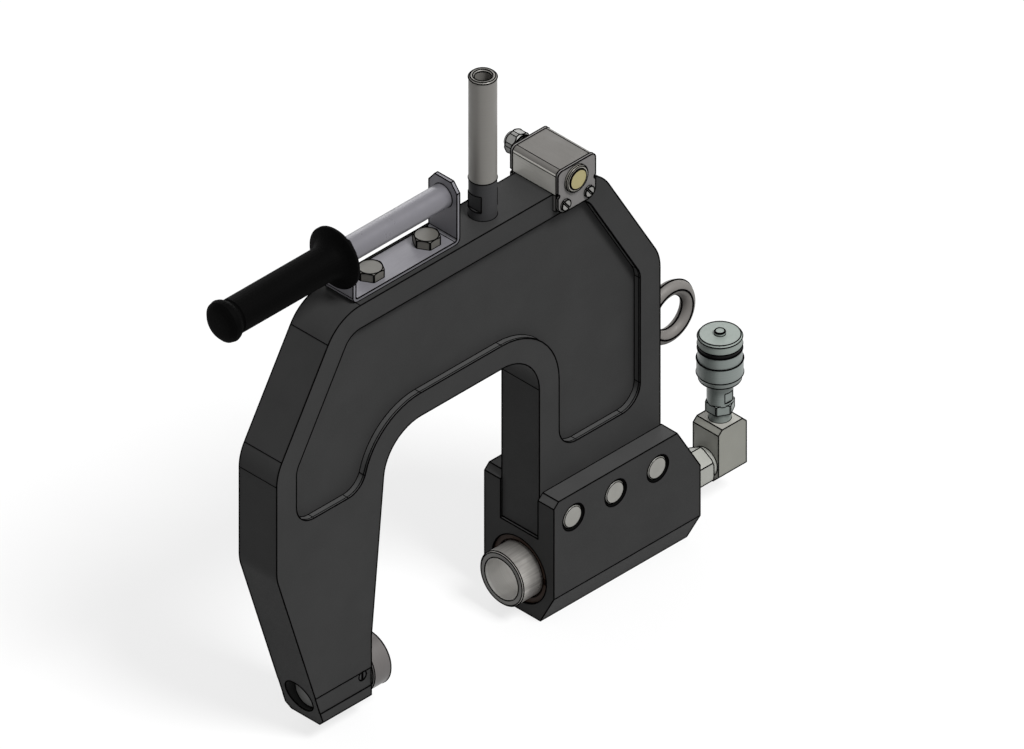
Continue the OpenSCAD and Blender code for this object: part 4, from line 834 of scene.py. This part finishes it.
def ballTree():
    tree, given, keys = newTree("ballTree", {
        "count": "Int", "ringRadius": "Float", "ballRadius": "Float", "place": "Vector",
        "finish": "Material"})
    ring = addNode(tree, "MeshCircle", {"Vertices": given["count"], "Radius": given["ringRadius"]})
    ball = addNode(tree, "MeshUVSphere", {
        "Segments": lockingBalls["segments"], "Rings": lockingBalls["rings"], "Radius": given["ballRadius"]})
    balls = addNode(tree, "InstanceOnPoints", {"Points": ring, "Instance": ball})
    placed = addNode(tree, "Transform", {"Geometry": balls, "Translation": given["place"]})
    closeTree(tree, placed, given["finish"])
    return tree, keys


low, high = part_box("locking_balls")
ballRadius = lockingBalls["ball"] / 2 * mm
ballMesh = grownMesh(lockingBalls["name"], ballTree(), {
    "count": lockingBalls["count"], "ringRadius": (high.x - low.x) / 2 - ballRadius, "ballRadius": ballRadius,
    "place": (low + high) / 2, "finish": toolFinishes[lockingBalls["finish"]]})
cleanMesh(ballMesh, lockingBalls["sharpAngle"])
makePiece(ballMesh, "locking_balls", lockingBalls)
print("locking balls done")

# Lifting eye: a swept ring with the fine seams of its forging, on a turned collar and stud. The collar
# is a row of (x, radius) points from its rear face. These sizes are in mm
liftingEye = {
    "name": "liftingEye", "finish": "eyeSteel", "line": 0.4, "sharpAngle": 20,
    "wire": 12, "seam": 0.4, "studLength": 23, "studRadius": 6,
    "collar": [(0, 14.2), (0.8, 15), (5.5, 15), (7.4, 12.5), (8, 9), (10, 6.5), (10, 0)],
    "ringSteps": 120, "wireSides": 40, "seamSides": 8, "turnSteps": 72,
}


def ringTree():
    tree, given, keys = newTree("ringTree", {
        "ringRadius": "Float", "wireRadius": "Float", "sides": "Int", "middle": "Vector",
        "finish": "Material"})
    path = addNode(tree, "CurvePrimitiveCircle", {
        "Resolution": liftingEye["ringSteps"], "Radius": given["ringRadius"]})
    ring = sweptWire(tree, path, given["sides"], given["wireRadius"])
    placed = addNode(tree, "Transform", {
        "Geometry": ring, "Translation": given["middle"], "Rotation": (math.pi / 2, 0, 0)})
    closeTree(tree, placed, given["finish"])
    return tree, keys


def addTurned(build, stations, start, steps):
    # Adds a solid turned about a line along X
    rings = []
    for x, radius in stations:
        ring = []
        for i in range(steps if radius else 1):
            turn = math.tau * i / steps
            place = Vector((x * mm, radius * mm * math.sin(turn), radius * mm * math.cos(turn)))
            ring.append(build.verts.new(start + place))
        rings.append(ring)
    for ring, after in zip(rings, rings[1:]):
        for i in range(steps):
            k = (i + 1) % steps
            corners = [ring[i % len(ring)], ring[k % len(ring)], after[k % len(after)], after[i % len(after)]]
            build.faces.new(list(dict.fromkeys(corners)))


low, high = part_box("eye_bolt")
wireRadius = liftingEye["wire"] / 2 * mm
ringRadius = (high.z - low.z) / 2 - wireRadius
ringMiddle = Vector((high.x - ringRadius - wireRadius, 0, (low.z + high.z) / 2))
studLength, studRadius = liftingEye["studLength"], liftingEye["studRadius"]
collarRear = Vector((low.x + studLength * mm, 0, ringMiddle.z))
stations = [(-studLength, 0), (-studLength, studRadius), (0, studRadius), *liftingEye["collar"]]
ringGrower = ringTree()
# The ring and then its seams: radius, wire radius, sides, shift along Y and material index
eyeRings = [(ringRadius, wireRadius, liftingEye["wireSides"], 0, 0)]
for outward, aside in ((1, 0), (-1, 0), (0, 1), (0, -1)):
    eyeRings.append((ringRadius + outward * wireRadius, liftingEye["seam"] * mm, liftingEye["seamSides"],
                     aside * wireRadius, lineRules["slot"]))
eyeBuild = bmesh.new()
for radius, wire, sides, shift, index in eyeRings:
    ringMesh = grownMesh("eyeRing", ringGrower, {
        "ringRadius": radius, "wireRadius": wire, "sides": sides,
        "middle": ringMiddle + Vector((0, shift, 0)), "finish": toolFinishes[liftingEye["finish"]]})
    for face in ringMesh.polygons:
        face.material_index = index
    eyeBuild.from_mesh(ringMesh)
    bpy.data.meshes.remove(ringMesh)
addTurned(eyeBuild, stations, collarRear, liftingEye["turnSteps"])
bmesh.ops.recalc_face_normals(eyeBuild, faces=eyeBuild.faces)
eyeMesh = bpy.data.meshes.new(liftingEye["name"])
eyeBuild.to_mesh(eyeMesh)
eyeBuild.free()
cleanMesh(eyeMesh, liftingEye["sharpAngle"])
makePiece(eyeMesh, "eye_bolt", liftingEye)
print("lifting eye done")

# Inner nodes keep their own solids, with a finish of their own
innerFinishes = {
    "piston_seal": "brownSeal", "piston_guide_ring": "brownSeal", "rod_seal": "brownSeal",
    "gland_o_ring": "blackSeal", "rear_cover_o_ring": "blackSeal", "coupler_seal": "blackSeal",
    "spring_retainer": "blackScrew", "guide_bolt": "blackScrew", "button_nut": "screwZinc",
    "switch_block": "switchBlack",
}
for node, finish in innerFinishes.items():
    cadNodes[node].data.materials.clear()
    cadNodes[node].data.materials.append(toolFinishes[finish])
print("inner nodes done:", len(innerFinishes))
